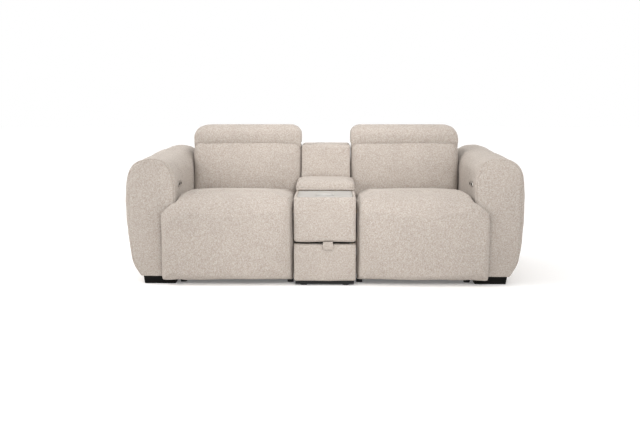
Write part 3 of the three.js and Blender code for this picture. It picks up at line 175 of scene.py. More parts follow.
def sewing_thread(tree, shader, place):
    """Bonded polyester sewing thread, twisted, a shade darker than the cloth: one twist in 1 mm."""
    twist = add_node(
        tree, "ShaderNodeTexWave", {"bands_direction": "DIAGONAL"}, {"Scale": 320.0}, {"Vector": place})
    stops = [(0.0, "9D9187"), (1.0, "BCB3AB")]
    finish_surface(tree, shader, twist.outputs[0], stops, {"Roughness": 0.6})


def birch_plywood(tree, shader, place):
    """Rotary-cut birch plywood, sanded and left raw: pale grain, with plies 1.4 mm thick on cut edges."""
    grain = pattern_of(tree, "ShaderNodeTexNoise", place, {
        "Scale": 1.0, "Detail": 6.0, "Roughness": 0.6, "Distortion": 0.4,
    }, (60.0, 4.0, 60.0))
    wood = set_ramp(add_node(tree, "ShaderNodeValToRGB", {}, {}, {"Fac": grain.outputs[0]}), [
        (0.3, "A9875F"), (0.5, "C4A67D"), (0.7, "D6BC95"),
    ])
    plies = add_node(tree, "ShaderNodeTexWave", {"bands_direction": "Z"}, {
        "Scale": 115.0, "Distortion": 0.6, "Detail": 1.0,
    }, {"Vector": place})
    both = {6: wood, 7: plies.outputs[0]}
    edge = add_node(tree, "ShaderNodeMix", {"data_type": "RGBA", "blend_type": "MULTIPLY"}, {0: 0.12}, both)
    finish_surface(tree, shader, edge.outputs[2], None, {"Roughness": 0.68},
                   relief=(grain.outputs[0], 0.2, 0.0004))


def stained_hardwood(tree, shader, place):
    """Solid hardwood blocks stained black and wiped with a thin oil, with grain that barely shows."""
    grain = pattern_of(tree, "ShaderNodeTexNoise", place, {
        "Scale": 1.0, "Detail": 5.0, "Roughness": 0.55, "Distortion": 0.7,
    }, (9.0, 120.0, 160.0))
    stops = [(0.35, "070706"), (0.6, "0D0C0B"), (0.75, "171513")]
    finish_surface(tree, shader, grain.outputs[0], stops, {"Roughness": 0.55, "Specular IOR Level": 0.1},
                   relief=(grain.outputs[0], 0.25, 0.0005))


def powder_coated_steel(tree, shader, place):
    """Pressed steel under black polyester powder coat: a fine orange peel with grains near 1 mm."""
    peel = pattern_of(tree, "ShaderNodeTexNoise", place, {"Scale": 900.0, "Detail": 2.0})
    dust = pattern_of(tree, "ShaderNodeTexNoise", place, {"Scale": 18.0, "Detail": 4.0})
    stops = [(0.35, "0F1012"), (0.65, "191A1C")]
    finish_surface(tree, shader, dust.outputs[0], stops, {"Specular IOR Level": 0.35},
                   (dust.outputs[0], 0.38, 0.52), (peel.outputs[0], 0.15, 0.0002))


def zinc_plated_steel(tree, shader, place):
    """Drawn steel with bright zinc plating: a faint brushed grain along the part and soft mottling."""
    lines = {"Scale": 1.0, "Detail": 3.0}
    brushed = pattern_of(tree, "ShaderNodeTexNoise", place, lines, (900.0, 12.0, 900.0))
    mottle = pattern_of(tree, "ShaderNodeTexNoise", place, {"Scale": 45.0, "Detail": 3.0})
    stops = [(0.3, "A4A7AA"), (0.7, "C6C8C9")]
    finish_surface(tree, shader, mottle.outputs[0], stops, {"Metallic": 1.0}, (brushed.outputs[0], 0.22, 0.4))


def satin_aluminium(tree, shader, place):
    """Anodised aluminium, turned and bead-blasted to a satin that spreads its highlights."""
    blast = pattern_of(tree, "ShaderNodeTexNoise", place, {"Scale": 1400.0, "Detail": 1.0})
    wear = pattern_of(tree, "ShaderNodeTexNoise", place, {"Scale": 60.0, "Detail": 3.0})
    stops = [(0.3, "BDBBB7"), (0.7, "CFCDC9")]
    finish_surface(tree, shader, wear.outputs[0], stops, {"Metallic": 1.0},
                   (wear.outputs[0], 0.28, 0.42), (blast.outputs[0], 0.08, 0.0002))


def black_abs(tree, shader, place):
    """Black ABS, injection-moulded in a spark-eroded tool: a matte grain, drawn 1.4 mm across, as
    coarse as it needs to show."""
    grain = pattern_of(tree, "ShaderNodeTexVoronoi", place, {"Scale": 700.0})
    smudge = pattern_of(tree, "ShaderNodeTexNoise", place, {"Scale": 25.0, "Detail": 3.0})
    stops = [(0.3, "0B0B0C"), (0.7, "131315")]
    finish_surface(tree, shader, smudge.outputs[0], stops, {"Specular IOR Level": 0.3},
                   (smudge.outputs[0], 0.48, 0.62), (grain.outputs["Distance"], 0.2, 0.0002))


def grey_abs(tree, shader, place):
    """Light grey ABS tray, injection-moulded with a satin face that shows slight wipe marks."""
    grain = pattern_of(tree, "ShaderNodeTexVoronoi", place, {"Scale": 900.0})
    smudge = pattern_of(tree, "ShaderNodeTexNoise", place, {"Scale": 1.0, "Detail": 4.0}, (8.0, 40.0, 8.0))
    stops = [(0.3, "A8A5A1"), (0.7, "B3B1AD")]
    finish_surface(tree, shader, smudge.outputs[0], stops, {},
                   (smudge.outputs[0], 0.3, 0.42), (grain.outputs["Distance"], 0.06, 0.0002))


FINISHES = {
    "upholstery": heathered_chenille,
    "thread": sewing_thread,
    "plywood": birch_plywood,
    "black_wood": stained_hardwood,
    "black_steel": powder_coated_steel,
    "bright_steel": zinc_plated_steel,
    "satin_metal": satin_aluminium,
    "black_plastic": black_abs,
    "tray_plastic": grey_abs,
}
made_finishes = {}


def finish_of(slot):
    """The material of a slot, made the first time it is asked for."""
    if slot not in made_finishes:
        made_finishes[slot] = make_material(FINISHES[slot])
    return made_finishes[slot]


# Shapes, in millimetres until they become an object


def grid_lines(low, high, edge, spacing, roll_steps=4):
    """Places along one side of a padded block: even in angle on its rounded edges, even between them."""
    roll = [edge * (1 - math.tan(math.pi / 4 * (1 - step / roll_steps))) for step in range(roll_steps)]
    inner = max(1, round((high - low - 2 * edge) / spacing))
    middle = [low + edge + (high - low - 2 * edge) * step / inner for step in range(inner + 1)]
    return [low + at for at in roll] + middle + [high - at for at in reversed(roll)]


def block_skin(low, high, edge, spacing, extra=((), (), ())):
    """The skin of a block with rounded edges, as a grid: its points, its faces, and each point's
    place between the block's faces, from -1 to 1. extra gives more grid lines for each axis."""
    lines = [
        sorted(set(grid_lines(low[axis], high[axis], edge, spacing)) | set(extra[axis])) for axis in range(3)]
    last = [len(line) - 1 for line in lines]
    index, points = {}, []

    def corner(at):
        if at not in index:
            index[at] = len(points)
            points.append([lines[axis][at[axis]] for axis in range(3)])
        return index[at]

    faces = []
    for axis in range(3):
        a, b = (axis + 1) % 3, (axis + 2) % 3
        for side in (0, last[axis]):
            for i in range(last[a]):
                for j in range(last[b]):
                    ring = []
                    for da, db in ((0, 0), (1, 0), (1, 1), (0, 1)):
                        at = [0, 0, 0]
                        at[axis], at[a], at[b] = side, i + da, j + db
                        ring.append(corner(tuple(at)))
                    faces.append(ring if side else ring[::-1])
    raw = np.array(points, float)
    low, high = np.array(low, float), np.array(high, float)
    inner = np.clip(raw, low + edge, high - edge)
    out = raw - inner
    length = np.linalg.norm(out, axis=1, keepdims=True)
    skin = inner + out / np.maximum(length, 1e-9) * edge * (length > 0)
    share = np.clip((skin - (low + high) / 2) / ((high - low) / 2), -1, 1)
    return skin, faces, share


def crown(skin, share, low=(0, 0, 0), high=(0, 0, 0), power=2.0):
    """Lifts each face of a block in its middle, as far as low and high say for each axis."""
    fall = 1 - np.abs(share) ** power
    lifted = skin.copy()
    for axis in range(3):
        a, b = (axis + 1) % 3, (axis + 2) % 3
        reach = np.where(share[:, axis] > 0, high[axis], low[axis]) * share[:, axis]
        lifted[:, axis] += fall[:, a] * fall[:, b] * reach
    return lifted


def swell_front(skin, share, amount):
    """Swells the front of a block between its edges."""
    swell = (1 - share[:, 0] ** 4) * (1 - share[:, 2] ** 4)
    skin[:, 1] -= np.where(share[:, 1] < -0.1, amount * swell * -share[:, 1], 0)


def ring_skin(rings, cap_steps, start_bulge=0.0, end_bulge=0.0):
    """A closed skin over rings of points, with a grid of shrinking rings over each end."""
    rings = np.array(rings, float)
    count = rings.shape[1]
    stacks = []
    for end, beside, bulge in ((0, 1, start_bulge), (-1, -2, end_bulge)):
        ring = rings[end]
        centre = ring.mean(0)
        away = (ring - rings[beside]).mean(0)
        away = away / max(np.linalg.norm(away), 1e-9)
        cap = []
        for step in range(1, cap_steps):
            shrink = 1 - step / cap_steps
            cap.append(centre + (ring - centre) * shrink + away * bulge * (1 - shrink * shrink))
        stacks.append((cap, centre + away * bulge))
    whole = list(reversed(stacks[0][0])) + list(rings) + stacks[1][0]
    points = np.concatenate(whole + [[stacks[0][1]], [stacks[1][1]]])
    faces = []
    for row in range(len(whole) - 1):
        for step in range(count):
            a, b = row * count + step, row * count + (step + 1) % count
            faces.append([a, b, b + count, a + count])
    first, last = len(points) - 2, len(points) - 1
    top = (len(whole) - 1) * count
    for step in range(count):
        following = (step + 1) % count
        faces.append([first, following, step])
        faces.append([last, top + step, top + following])
    return points, faces


def spline(points, per_span):
    """A smooth curve through points, with the same number of steps between each two."""
    points = [np.array(point, float) for point in points]
    last = len(points) - 1
    curve = []
    for at in range(last):
        a, b = points[max(at - 1, 0)], points[at]
        c, d = points[at + 1], points[min(at + 2, last)]
        square, cube = 2 * a - 5 * b + 4 * c - d, 3 * b - a - 3 * c + d
        for step in range(per_span):
            t = step / per_span
            curve.append(0.5 * (2 * b + (c - a) * t + square * t * t + cube * t ** 3))
    curve.append(points[-1])
    return np.array(curve)


def arc(centre, radius, start, end, count):
    """Points on an arc, from one angle to another in degrees."""
    angles = np.radians(np.linspace(start, end, count))
    return [(centre[0] + radius * math.cos(a), centre[1] + radius * math.sin(a)) for a in angles]


def even_steps(path, spacing, closed=False):
    """The same line, with points at even distances."""
    path = np.array(path, float)
    if closed:
        path = np.vstack([path, path[:1]])
    gaps = np.linalg.norm(np.diff(path, axis=0), axis=1)
    run = np.concatenate([[0], np.cumsum(gaps)])
    count = max(2, round(run[-1] / spacing))
    places = np.linspace(0, run[-1], count + 1)
    if closed:
        places = places[:-1]
    return np.stack([np.interp(places, run, path[:, axis]) for axis in range(path.shape[1])], axis=1)


def roll_inset(distance, radius):
    """How far a rolled edge has drawn in at a distance from its end."""
    left = max(radius - distance, 0.0)
    return radius - math.sqrt(radius * radius - left * left)


def stations(start, end, start_roll, end_roll, spacing, roll_steps=7):
    """Places along a form with rolled ends, closer together on the rolls."""
    roll = [1 - math.cos(math.pi / 2 * step / roll_steps) for step in range(roll_steps)]
    count = max(1, round((end - end_roll - start - start_roll) / spacing))
    places = [start + start_roll * at for at in roll]
    places += list(np.linspace(start + start_roll, end - end_roll, count + 1))
    return places + [end - end_roll * at for at in reversed(roll)]


def soft_noise(points, size, seed):
    """Smooth noise from -1 to 1, with features of the given size."""
    shift = Vector((seed * 17.31, seed * 5.77, seed * 11.13))
    return np.array([noise.noise(Vector(point) / size + shift) for point in points])


def mesh_piece(name, points, faces, slot, side=1):
    """A smooth-shaded object from points in millimetres. side -1 mirrors it to the left."""
    points = np.array(points, float) * MM
    if side < 0:
        points[:, 0] *= -1
        faces = [face[::-1] for face in faces]
    mesh = bpy.data.meshes.new(name)
    mesh.from_pydata(points.tolist(), [], [list(face) for face in faces])
    mesh.validate()
    piece = bpy.data.objects.new(name, mesh)
    bpy.context.scene.collection.objects.link(piece)
    mesh.polygons.foreach_set("use_smooth", [True] * len(mesh.polygons))
    mesh.materials.append(finish_of(slot))
    return piece


def vectors_of(collection, label):
    """One vector of every item of a mesh, as rows."""
    flat = np.empty(len(collection) * 3, np.float32)
    collection.foreach_get(label, flat)
    return flat.reshape(-1, 3).astype(float)


def points_of(piece):
    """A piece's points, in millimetres."""
    return vectors_of(piece.data.vertices, "co") / MM


def set_points(piece, points):
    """Moves a piece's points, given in millimetres."""
    piece.data.vertices.foreach_set("co", (np.asarray(points) * MM).astype(np.float32).ravel())
    piece.data.update()


def outward(piece):
    """Turns all faces outwards."""
    work = bmesh.new()
    work.from_mesh(piece.data)
    bmesh.ops.recalc_face_normals(work, faces=work.faces)
    work.to_mesh(piece.data)
    work.free()


def apply_modifier(piece, kind=None, **settings):
    """Adds a modifier with its settings, where a kind is given, and makes what it does part of the mesh."""
    if kind:
        modifier = piece.modifiers.new(kind, kind)
        for name, value in settings.items():
            setattr(modifier, name, value)
    graph = bpy.context.evaluated_depsgraph_get()
    mesh = bpy.data.meshes.new_from_object(piece.evaluated_get(graph), depsgraph=graph)
    old = piece.data
    piece.modifiers.clear()
    piece.data = mesh
    mesh.name = piece.name
    bpy.data.meshes.remove(old)
    mesh.polygons.foreach_set("use_smooth", [True] * len(mesh.polygons))
    return piece


def subdivide(piece):
    """Smooths a piece's rolls by one level of subdivision."""
    apply_modifier(piece, "SUBSURF", levels=1, render_levels=1)


SEWN_CLOTH = {
    "quality": 5, "mass": 0.3, "tension_stiffness": 12, "compression_stiffness": 12, "shear_stiffness": 6,
    "bending_stiffness": 0.6, "use_pressure": True,
}
STUFFING_FRAMES = 20


def stuff(piece, pinned, reach):
    """Fills a cushion by cloth simulation: its cloth swells under pressure, the pinned points
    stay where they are sewn down, and no point moves further than reach millimetres."""
    start = points_of(piece)
    group = piece.vertex_groups.new(name="sewn")
    pins = np.asarray(pinned, float)
    for at in np.nonzero(pins > 0)[0]:
        group.add([int(at)], float(pins[at]), "REPLACE")
    modifier = piece.modifiers.new("Cloth", "CLOTH")
    cloth = modifier.settings
    for name, value in SEWN_CLOTH.items():
        setattr(cloth, name, value)
    cloth.uniform_pressure_force = bpy.context.scene.sofa_upholstery.pressure
    cloth.vertex_group_mass = group.name
    cloth.effector_weights.gravity = 0
    modifier.collision_settings.use_collision = False
    modifier.point_cache.frame_start = 1
    modifier.point_cache.frame_end = STUFFING_FRAMES
    scene = bpy.context.scene
    for at in range(1, STUFFING_FRAMES + 1):
        scene.frame_set(at)
    filled = piece.evaluated_get(bpy.context.evaluated_depsgraph_get())
    moved = points_of(filled) - start
    piece.modifiers.clear()
    piece.vertex_groups.clear()
    scene.frame_set(1)
    length = np.linalg.norm(moved, axis=1, keepdims=True)
    moved *= np.minimum(1, reach / np.maximum(length, 1e-9))
    set_points(piece, start + moved)


def stuffed(name, points, faces, pinned, reach):
    """The points of a cover once it is filled. pinned picks its sewn-down points from their places."""
    model = mesh_piece(name, points, faces, "upholstery")
    outward(model)
    stuff(model, pinned(points_of(model)), reach)
    filled = points_of(model)
    bpy.data.objects.remove(model)
    return filled


def distance_to(points, path):
    """How far each point is from a line."""
    best = np.full(len(points), 1e9)
    for a, b in zip(path[:-1], path[1:]):
        span = b - a
        share = np.clip((points - a) @ span / max(span @ span, 1e-9), 0, 1)
        best = np.minimum(best, np.linalg.norm(points - (a + share[:, None] * span), axis=1))
    return best


def sew(piece, path, depth, width, side=1):
    """Draws the cloth in along a seam, with a soft swell on both sides of it."""
    path = np.array(path, float) * (side, 1, 1)
    points, normals = points_of(piece), vectors_of(piece.data.vertex_normals, "vector")
    low, high = path.min(0) - width * 6, path.max(0) + width * 6
    near = np.nonzero(np.all((points > low) & (points < high), axis=1))[0]
    away = distance_to(points[near], path)
    sink = -depth * np.exp(-(away / width) ** 2)
    swell = depth * 0.35 * np.exp(-((away - width * 2.6) / (width * 1.6)) ** 2)
    points[near] += normals[near] * (sink + swell)[:, None]
    set_points(piece, points)


def ruffle(piece, amount, size, seed, weight=None):
    """Small uneven swells, as stuffed cloth has."""
    points, normals = points_of(piece), vectors_of(piece.data.vertex_normals, "vector")
    lift = soft_noise(points, size, seed) * amount
    if weight is not None:
        lift = lift * weight(points)
    set_points(piece, points + normals * lift[:, None])


def keep_in(points, axis, low=None, high=None, where=slice(None)):
    """Keeps points, or some of them, between two limits along an axis."""
    points[where, axis] = np.clip(points[where, axis], low, high)


def keep_across(points, sign, low, high):
    """Keeps the points of one side of the sofa between two distances from its middle."""
    points[:, 0] = sign * np.clip(np.abs(points[:, 0]), low, high)


def cover_of(name, points, faces, sign=1):
    """A cover with smooth rolls, ready to be sewn and ruffled."""
    cover = mesh_piece(name, points, faces, "upholstery", sign)
    outward(cover)
    subdivide(cover)
    return cover


def settle(piece, body, node=None):
    """Puts a piece on its body, and hides the solid that it stands for."""
    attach(piece, body)
    if node:
        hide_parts(node)


def turned(name, profile, centre, slot, sides=48):
    """A shape turned on an upright axis, from a profile of (radius, height) pairs."""
    points, faces, rows = [], [], []
    for radius, height in profile:
        if radius < 1e-6:
            rows.append([len(points)])
            points.append((centre[0], centre[1], height))
            continue
        rows.append(list(range(len(points), len(points) + sides)))
        for step in range(sides):
            angle = 2 * math.pi * step / sides
            x, y = radius * math.cos(angle), radius * math.sin(angle)
            points.append((centre[0] + x, centre[1] + y, height))
    for lower, upper in zip(rows[:-1], rows[1:]):
        for step in range(sides):
            following = (step + 1) % sides
            if len(lower) == 1 and len(upper) > 1:
                faces.append([lower[0], upper[following], upper[step]])
            elif len(upper) == 1 and len(lower) > 1:
                faces.append([lower[step], lower[following], upper[0]])
            elif len(lower) > 1:
                faces.append([lower[step], lower[following], upper[following], upper[step]])
    piece = mesh_piece(name, points, faces, slot)
    outward(piece)
    return piece


# Settings a user can change


class SofaUpholstery(bpy.types.PropertyGroup):
    """Sizes of the cloth and its stuffing."""

    fleck_size: bpy.props.FloatProperty(
        name="Fleck Size", description="Width of one fleck of light or dark yarn",
        default=0.0034, unit="LENGTH")
    loop_size: bpy.props.FloatProperty(
        name="Loop Size", description="Distance between the loops of the nap", default=0.0034, unit="LENGTH")
    pressure: bpy.props.FloatProperty(
        name="Pressure", description="Pressure that fills the cushions in the cloth simulation",
        default=4.0, min=0.0)
    seam_depth: bpy.props.FloatProperty(
        name="Seam Depth", description="How far a seam draws the cloth in", default=0.004, unit="LENGTH")
    stitch_pitch: bpy.props.FloatProperty(
        name="Stitch Pitch", description="Distance from one stitch to the next", default=0.007, unit="LENGTH")
    ruffle_height: bpy.props.FloatProperty(
        name="Ruffle Height", description="Height of the uneven swells of stuffed cloth",
        default=0.0022, unit="LENGTH")


class SofaConsole(bpy.types.PropertyGroup):
    """Sizes of the console's fittings."""

    cup_radius: bpy.props.FloatProperty(
        name="Cup Radius", description="Inner radius of the cup holder", default=0.044, unit="LENGTH")
    tab_fold: bpy.props.FloatProperty(
        name="Tab Thickness", description="Thickness of the folded pull tab", default=0.008, unit="LENGTH")


class SofaStage(bpy.types.PropertyGroup):
    """The floor, the lights and the camera."""

    distance: bpy.props.FloatProperty(
        name="Camera Distance", description="From the camera to the console's front",
        default=4.316, unit="LENGTH")
    height: bpy.props.FloatProperty(
        name="Camera Height", description="Height of the camera above the floor", default=0.95, unit="LENGTH")
    aside: bpy.props.FloatProperty(
        name="Camera Offset", description="How far right of the middle the camera stands",
        default=0.04, unit="LENGTH")
    pan: bpy.props.FloatProperty(
        name="Camera Pan", description="How far the camera turns to the left",
        default=math.radians(0.85), subtype="ANGLE")
    tilt: bpy.props.FloatProperty(
        name="Camera Tilt", description="How far the camera looks down",
        default=math.radians(7.63), subtype="ANGLE")
    lens: bpy.props.FloatProperty(
        name="Lens", description="Focal length on a 36 mm wide sensor, in millimetres", default=48.6)
    floor_colour: bpy.props.FloatVectorProperty(
        name="Floor Colour", description="Colour of the studio floor and wall", subtype="COLOR", size=4,
        min=0.0, max=1.0, default=linear("F7F6F5"))


class SofaPiece:
    """What all operators of the sofa share."""

    bl_options = {"REGISTER", "UNDO"}


def cloth_sizes(context):
    """The depth of a seam and the height of a ruffle, in millimetres."""
    choices = context.scene.sofa_upholstery
    return choices.seam_depth / MM, choices.ruffle_height / MM


# Arms


ARM_INNER, ARM_WIDTH = 757.0, 273.0
ARM_FRONT, ARM_REAR = -440.0, 485.0
ARM_BOTTOM, ARM_HEIGHT, ARM_RISE = 42.6, 655.0, 26.0
ARM_ROLL, ARM_BULGE = 42.0, 12.0
PANEL_ROLL, INNER_ROLL, OUTER_ROLL = 15.0, 58.0, 42.0
ARM_OUTLINE = (
    (0.72, 0.0), (0.89, 0.14), (0.975, 0.38), (1.0, 0.62), (0.957, 0.825),
    (0.81, 0.95), (0.55, 1.0), (0.22, 0.985), (0.045, 0.915), (0.0, 0.83),
)
PANEL_CROWN = 9.0
PLATE_Y, PLATE_Z = -326.0, 508.5


def arm_ring():
    """The arm's outline as shares of its width and height, at even steps."""
    curve = spline(ARM_OUTLINE, 8)
    scale = np.array([ARM_WIDTH, ARM_HEIGHT - ARM_BOTTOM])
    corner = np.array([[0.0, 0.012], [0.03, 0.0]])
    outline = np.vstack([curve, corner])
    return even_steps(outline * scale, 11.0, closed=True) / scale


def arm_place(share, y):
    """A point of the arm's skin, from its place on the outline and its distance from the front."""
    along = (y - ARM_FRONT) / (ARM_REAR - ARM_FRONT)
    inner = min(max((0.3 - share[0]) / 0.25, 0), 1)
    outer = min(max((share[0] - 0.84) / 0.14, 0), 1) * min(max((0.95 - share[1]) / 0.2, 0), 1)
    roll = PANEL_ROLL + (INNER_ROLL - PANEL_ROLL) * inner * inner + (OUTER_ROLL - PANEL_ROLL) * outer
    inset = max(roll_inset(y - ARM_FRONT, roll), roll_inset(ARM_REAR - y, ARM_ROLL))
    width = ARM_WIDTH - ARM_BULGE * (2 * along - 1) ** 2
    height = ARM_HEIGHT - ARM_BOTTOM + ARM_RISE * (along - 0.5)
    centre = ARM_WIDTH * 0.2
    squeeze = 1 - inset / (width - centre)
    x = ARM_INNER + centre + (min(share[0], 1.0) * width - centre) * squeeze
    return np.array([x, y, ARM_BOTTOM + max(share[1], 0.0) * (height - inset)])


def arm_seam(y, start, end):
    """The seam round the arm's front panel, from one place on the outline to another."""
    curve = np.vstack([spline(ARM_OUTLINE, 10), [(0.0, 0.78), (0.0, 0.72), (0.0, 0.66)]])
    count = len(curve)
    chosen = curve[int(start * (count - 1)):int(end * (count - 1)) + 1]
    return np.array([arm_place(share, y) for share in chosen])


class SOFA_OT_arms(SofaPiece, bpy.types.Operator):
    """Upholster both arms: a rounded pod with a sewn-in front panel"""

    bl_idname = "sofa.arms"
    bl_label = "Arms"

    def execute(self, context):
        seam, fold = cloth_sizes(context)
        ring = arm_ring()
        places = stations(ARM_FRONT, ARM_REAR, INNER_ROLL, ARM_ROLL, 12.0, 13)
        points, faces = ring_skin([[arm_place(share, y) for share in ring] for y in places], 12, 0.0, 4.0)
        front_seam = arm_seam(ARM_FRONT + 4.5, 0.03, 1.0)
        top_seam = [(ARM_INNER - 1, y, z) for y, z in ((-262, 590), (-235, 520), (-185, 430))]
        for side, sign in SIDES.items():
            arm = mesh_piece(f"arm_cover_{side}", points, faces, "upholstery", sign)
            outward(arm)
            self.crown_panel(arm, sign)
            ruffle(arm, 5.0, 210.0, 3 + sign, lambda at: np.clip((at[:, 2] - 60) / 120, 0, 1))
            subdivide(arm)
            sew(arm, front_seam, seam * 1.3, 3.6, sign)
            sew(arm, top_seam, seam * 0.7, 7.0, sign)
            ruffle(arm, fold, 46.0, 11 + sign)
            self.make_room(arm, sign)
            settle(arm, ROOT, f"arm_{side}")
        return {"FINISHED"}

    def crown_panel(self, arm, sign):
        """Swells the front panel, except where the legrest's wing stands in front of it."""
        at = points_of(arm)
        across = np.clip((at[:, 0] * sign - 838) / 190, 0, 1)
        up = np.clip((at[:, 2] - 60) / 560, 0, 1)
        swell = PANEL_CROWN * np.sin(math.pi * across) ** 0.7 * np.sin(math.pi * up) ** 0.6
        at[:, 1] -= swell * np.clip((ARM_FRONT + 6 - at[:, 1]) / 6, 0, 1)
        set_points(arm, at)

    def make_room(self, arm, sign):
        """Keeps the cover clear of the legrest's wing, the seat, the control plate and the feet."""
        at = points_of(arm)
        keep_in(at, 1, -441.5, where=(np.abs(at[:, 0]) < 845) & (at[:, 1] < -436))
        at[:, 0] = sign * np.maximum(np.abs(at[:, 0]), ARM_INNER - 0.4)
        plate = (np.abs(at[:, 1] - PLATE_Y) < 44) & (np.abs(at[:, 2] - PLATE_Z) < 12)
        plate &= np.abs(at[:, 0]) < ARM_INNER + 10
        at[plate, 0] = sign * np.maximum(np.abs(at[plate, 0]), ARM_INNER + 1.6)
        keep_in(at, 2, ARM_BOTTOM)
        set_points(arm, at)


# Seats: one cover runs over the seat, round its front corner and down the legrest


SEAT_INNER, SEAT_OUTER, WING_OUTER = 161.0, 755.0, 835.0
FRONT, SEAT_TOP, CORNER = -485.0, 470.0, 100.0
SEAT_DROP, LEGREST_LOW = 42.0, 20.0
INNER_EDGE, OUTER_EDGE, WING_EDGE = 34.0, 44.0, 18.0
WING_REAR, WING_TOP, WING_FALL = -443.5, 441.0, 82.0


def seat_profile():
    """The cover's section: seat top, front corner, legrest, and the notch over the legrest board."""
    line = [(104.0, 381.0)]
    line += arc((70.0, 436.0), 34.0, 0, 90, 8)
    line += arc((FRONT + CORNER, SEAT_TOP - CORNER), CORNER, 90, 180, 20)
    line += arc((FRONT + 28, LEGREST_LOW + 28), 28.0, 180, 270, 7)
    line += [(-412.0, LEGREST_LOW), (-412.0, 428.0), (-391.0, 428.0), (-391.0, 381.0)]
    return even_steps(line, 9.0, closed=True)


def profile_normals(profile):
    """The direction straight out of a closed section, at each of its points."""
    along = np.roll(profile, -1, axis=0) - np.roll(profile, 1, axis=0)
    normal = np.stack([along[:, 1], -along[:, 0]], axis=1)
    normal /= np.maximum(np.linalg.norm(normal, axis=1, keepdims=True), 1e-9)
    inwards = np.sum((profile - profile.mean(0)) * normal) < 0
    return -normal if inwards else normal


def seat_block():
    """The seat and legrest as one closed skin. Its top falls towards the rear."""
    profile = seat_profile()
    normal = profile_normals(profile)
    shown = ((profile[:, 1] > 440) | (profile[:, 0] < -440)).astype(float)
    middle, half = (SEAT_INNER + SEAT_OUTER) / 2, (SEAT_OUTER - SEAT_INNER) / 2
    rings = []
    for x in stations(SEAT_INNER, SEAT_OUTER, INNER_EDGE, OUTER_EDGE, 11.0):
        inset = max(roll_inset(x - SEAT_INNER, INNER_EDGE), roll_inset(SEAT_OUTER - x, OUTER_EDGE))
        if x > middle:
            inset *= np.where(profile[:, 0] < -440, np.clip((profile[:, 1] - 380) / 90, 0, 1), 1.0)
        swell = 7.0 * (1 - ((x - middle) / half) ** 2)
        moved = profile + normal * (shown * (swell * 0.8 - 3.0 - inset * 0.8))[:, None]
        back = np.clip((moved[:, 0] - FRONT - CORNER) / 489, 0, 1)
        moved[:, 1] -= SEAT_DROP * back * np.clip((moved[:, 1] - 381) / 89, 0, 1)
        rings.append(np.column_stack([np.full(len(profile), x), moved]))
    return ring_skin(rings, 6)


def wing_block():
    """The legrest's wing in front of the arm as a closed skin. Its top falls towards its outer side."""
    wing = even_steps([
        (WING_REAR, LEGREST_LOW), (WING_REAR, WING_TOP), (-455.0, WING_TOP), (-471.0, 421.0), (-481.0, 396.0),
        (FRONT + 1, 370.0), (FRONT + 1, 48.0), (-477.0, 29.0), (-459.0, LEGREST_LOW),
    ], 8.0, closed=True)
    rings = []
    for x in stations(680.0, WING_OUTER, 4.0, WING_EDGE, 8.0):
        share = min(max((x - 735) / (WING_OUTER - 735), 0), 1)
        drop = WING_FALL * (0.55 * share + 0.45 * (1 - math.sqrt(max(1 - share * share, 0))))
        moved = wing.copy()
        moved[:, 1] -= np.clip((wing[:, 1] - 28) / 413, 0, 1) * drop
        moved[:, 0] += roll_inset(WING_OUTER - x, WING_EDGE) * (WING_REAR - wing[:, 0]) / 41.5
        rings.append(np.column_stack([np.full(len(wing), x), moved]))
    return ring_skin(rings, 3)


class SOFA_OT_seats(SofaPiece, bpy.types.Operator):
    """Upholster both seats: one stuffed cover from the seat's rear to the foot of the legrest"""

    bl_idname = "sofa.seats"
    bl_label = "Seats And Legrests"

    def execute(self, context):
        _, fold = cloth_sizes(context)
        filled, faces = self.filled_cover()
        for side, sign in SIDES.items():
            cover = mesh_piece(f"seat_cover_{side}", filled, faces, "upholstery", sign)
            subdivide(cover)
            ruffle(cover, 3.2, 150.0, 21 + sign)
            ruffle(cover, fold * 0.8, 44.0, 31 + sign)
            at = points_of(cover)
            x = np.abs(at[:, 0])
            x = np.clip(x, SEAT_INNER - 1, np.where(at[:, 1] > -449, 755.6, WING_OUTER + 3))
            at[:, 0] = sign * x
            keep_in(at, 1, high=-443.2, where=(x > 750) & (at[:, 1] < -430))
            keep_in(at, 1, FRONT - 3, 106)
            keep_in(at, 2, LEGREST_LOW - 1.5, 484)
            set_points(cover, at)
            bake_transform(cover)
            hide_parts(f"seat_pad_{side}", f"legrest_pad_{side}")
        return {"FINISHED"}

    def filled_cover(self):
        """The blocks of seat and wing, melted into one skin, relaxed and stuffed."""
        block, faces = seat_block()
        wing, wing_faces = wing_block()
        faces = faces + [[at + len(block) for at in face] for face in wing_faces]
        model = mesh_piece("seat_model", np.vstack([block, wing]), faces, "upholstery")
        outward(model)
        apply_modifier(model, "REMESH", mode="VOXEL", voxel_size=9.0 * MM, use_smooth_shade=True)
        apply_modifier(model, "SMOOTH", factor=0.6, iterations=6)
        start = points_of(model)
        hidden = (start[:, 2] < 386) & (start[:, 1] > -400)
        hidden |= (start[:, 1] > -418) & (start[:, 2] < 432) & (start[:, 1] < -386)
        hidden |= (start[:, 0] > 752) & (start[:, 1] > -450)
        stuff(model, hidden, 12.0)
        filled, faces = points_of(model), [list(face.vertices) for face in model.data.polygons]
        bpy.data.objects.remove(model)
        return filled, faces


# Backs and headrests


BACK_INNER, BACK_OUTER = 144.6, 753.4
BACK_LOW, BACK_TOP, BACK_REAR = 359.0, 697.0, 261.5
SOCKET, SOCKET_RADIUS = (200.0, 697.0), 51.5
PANEL_FRONT, PANEL_REAR = 302.2, 424.0
HEADREST_INNER, HEADREST_OUTER, HEADREST_TOP = 141.6, 752.0, 795.0
HEADREST_FRONT, HEADREST_REAR = 155.0, 329.0
HEADREST_RADIUS = 51.0


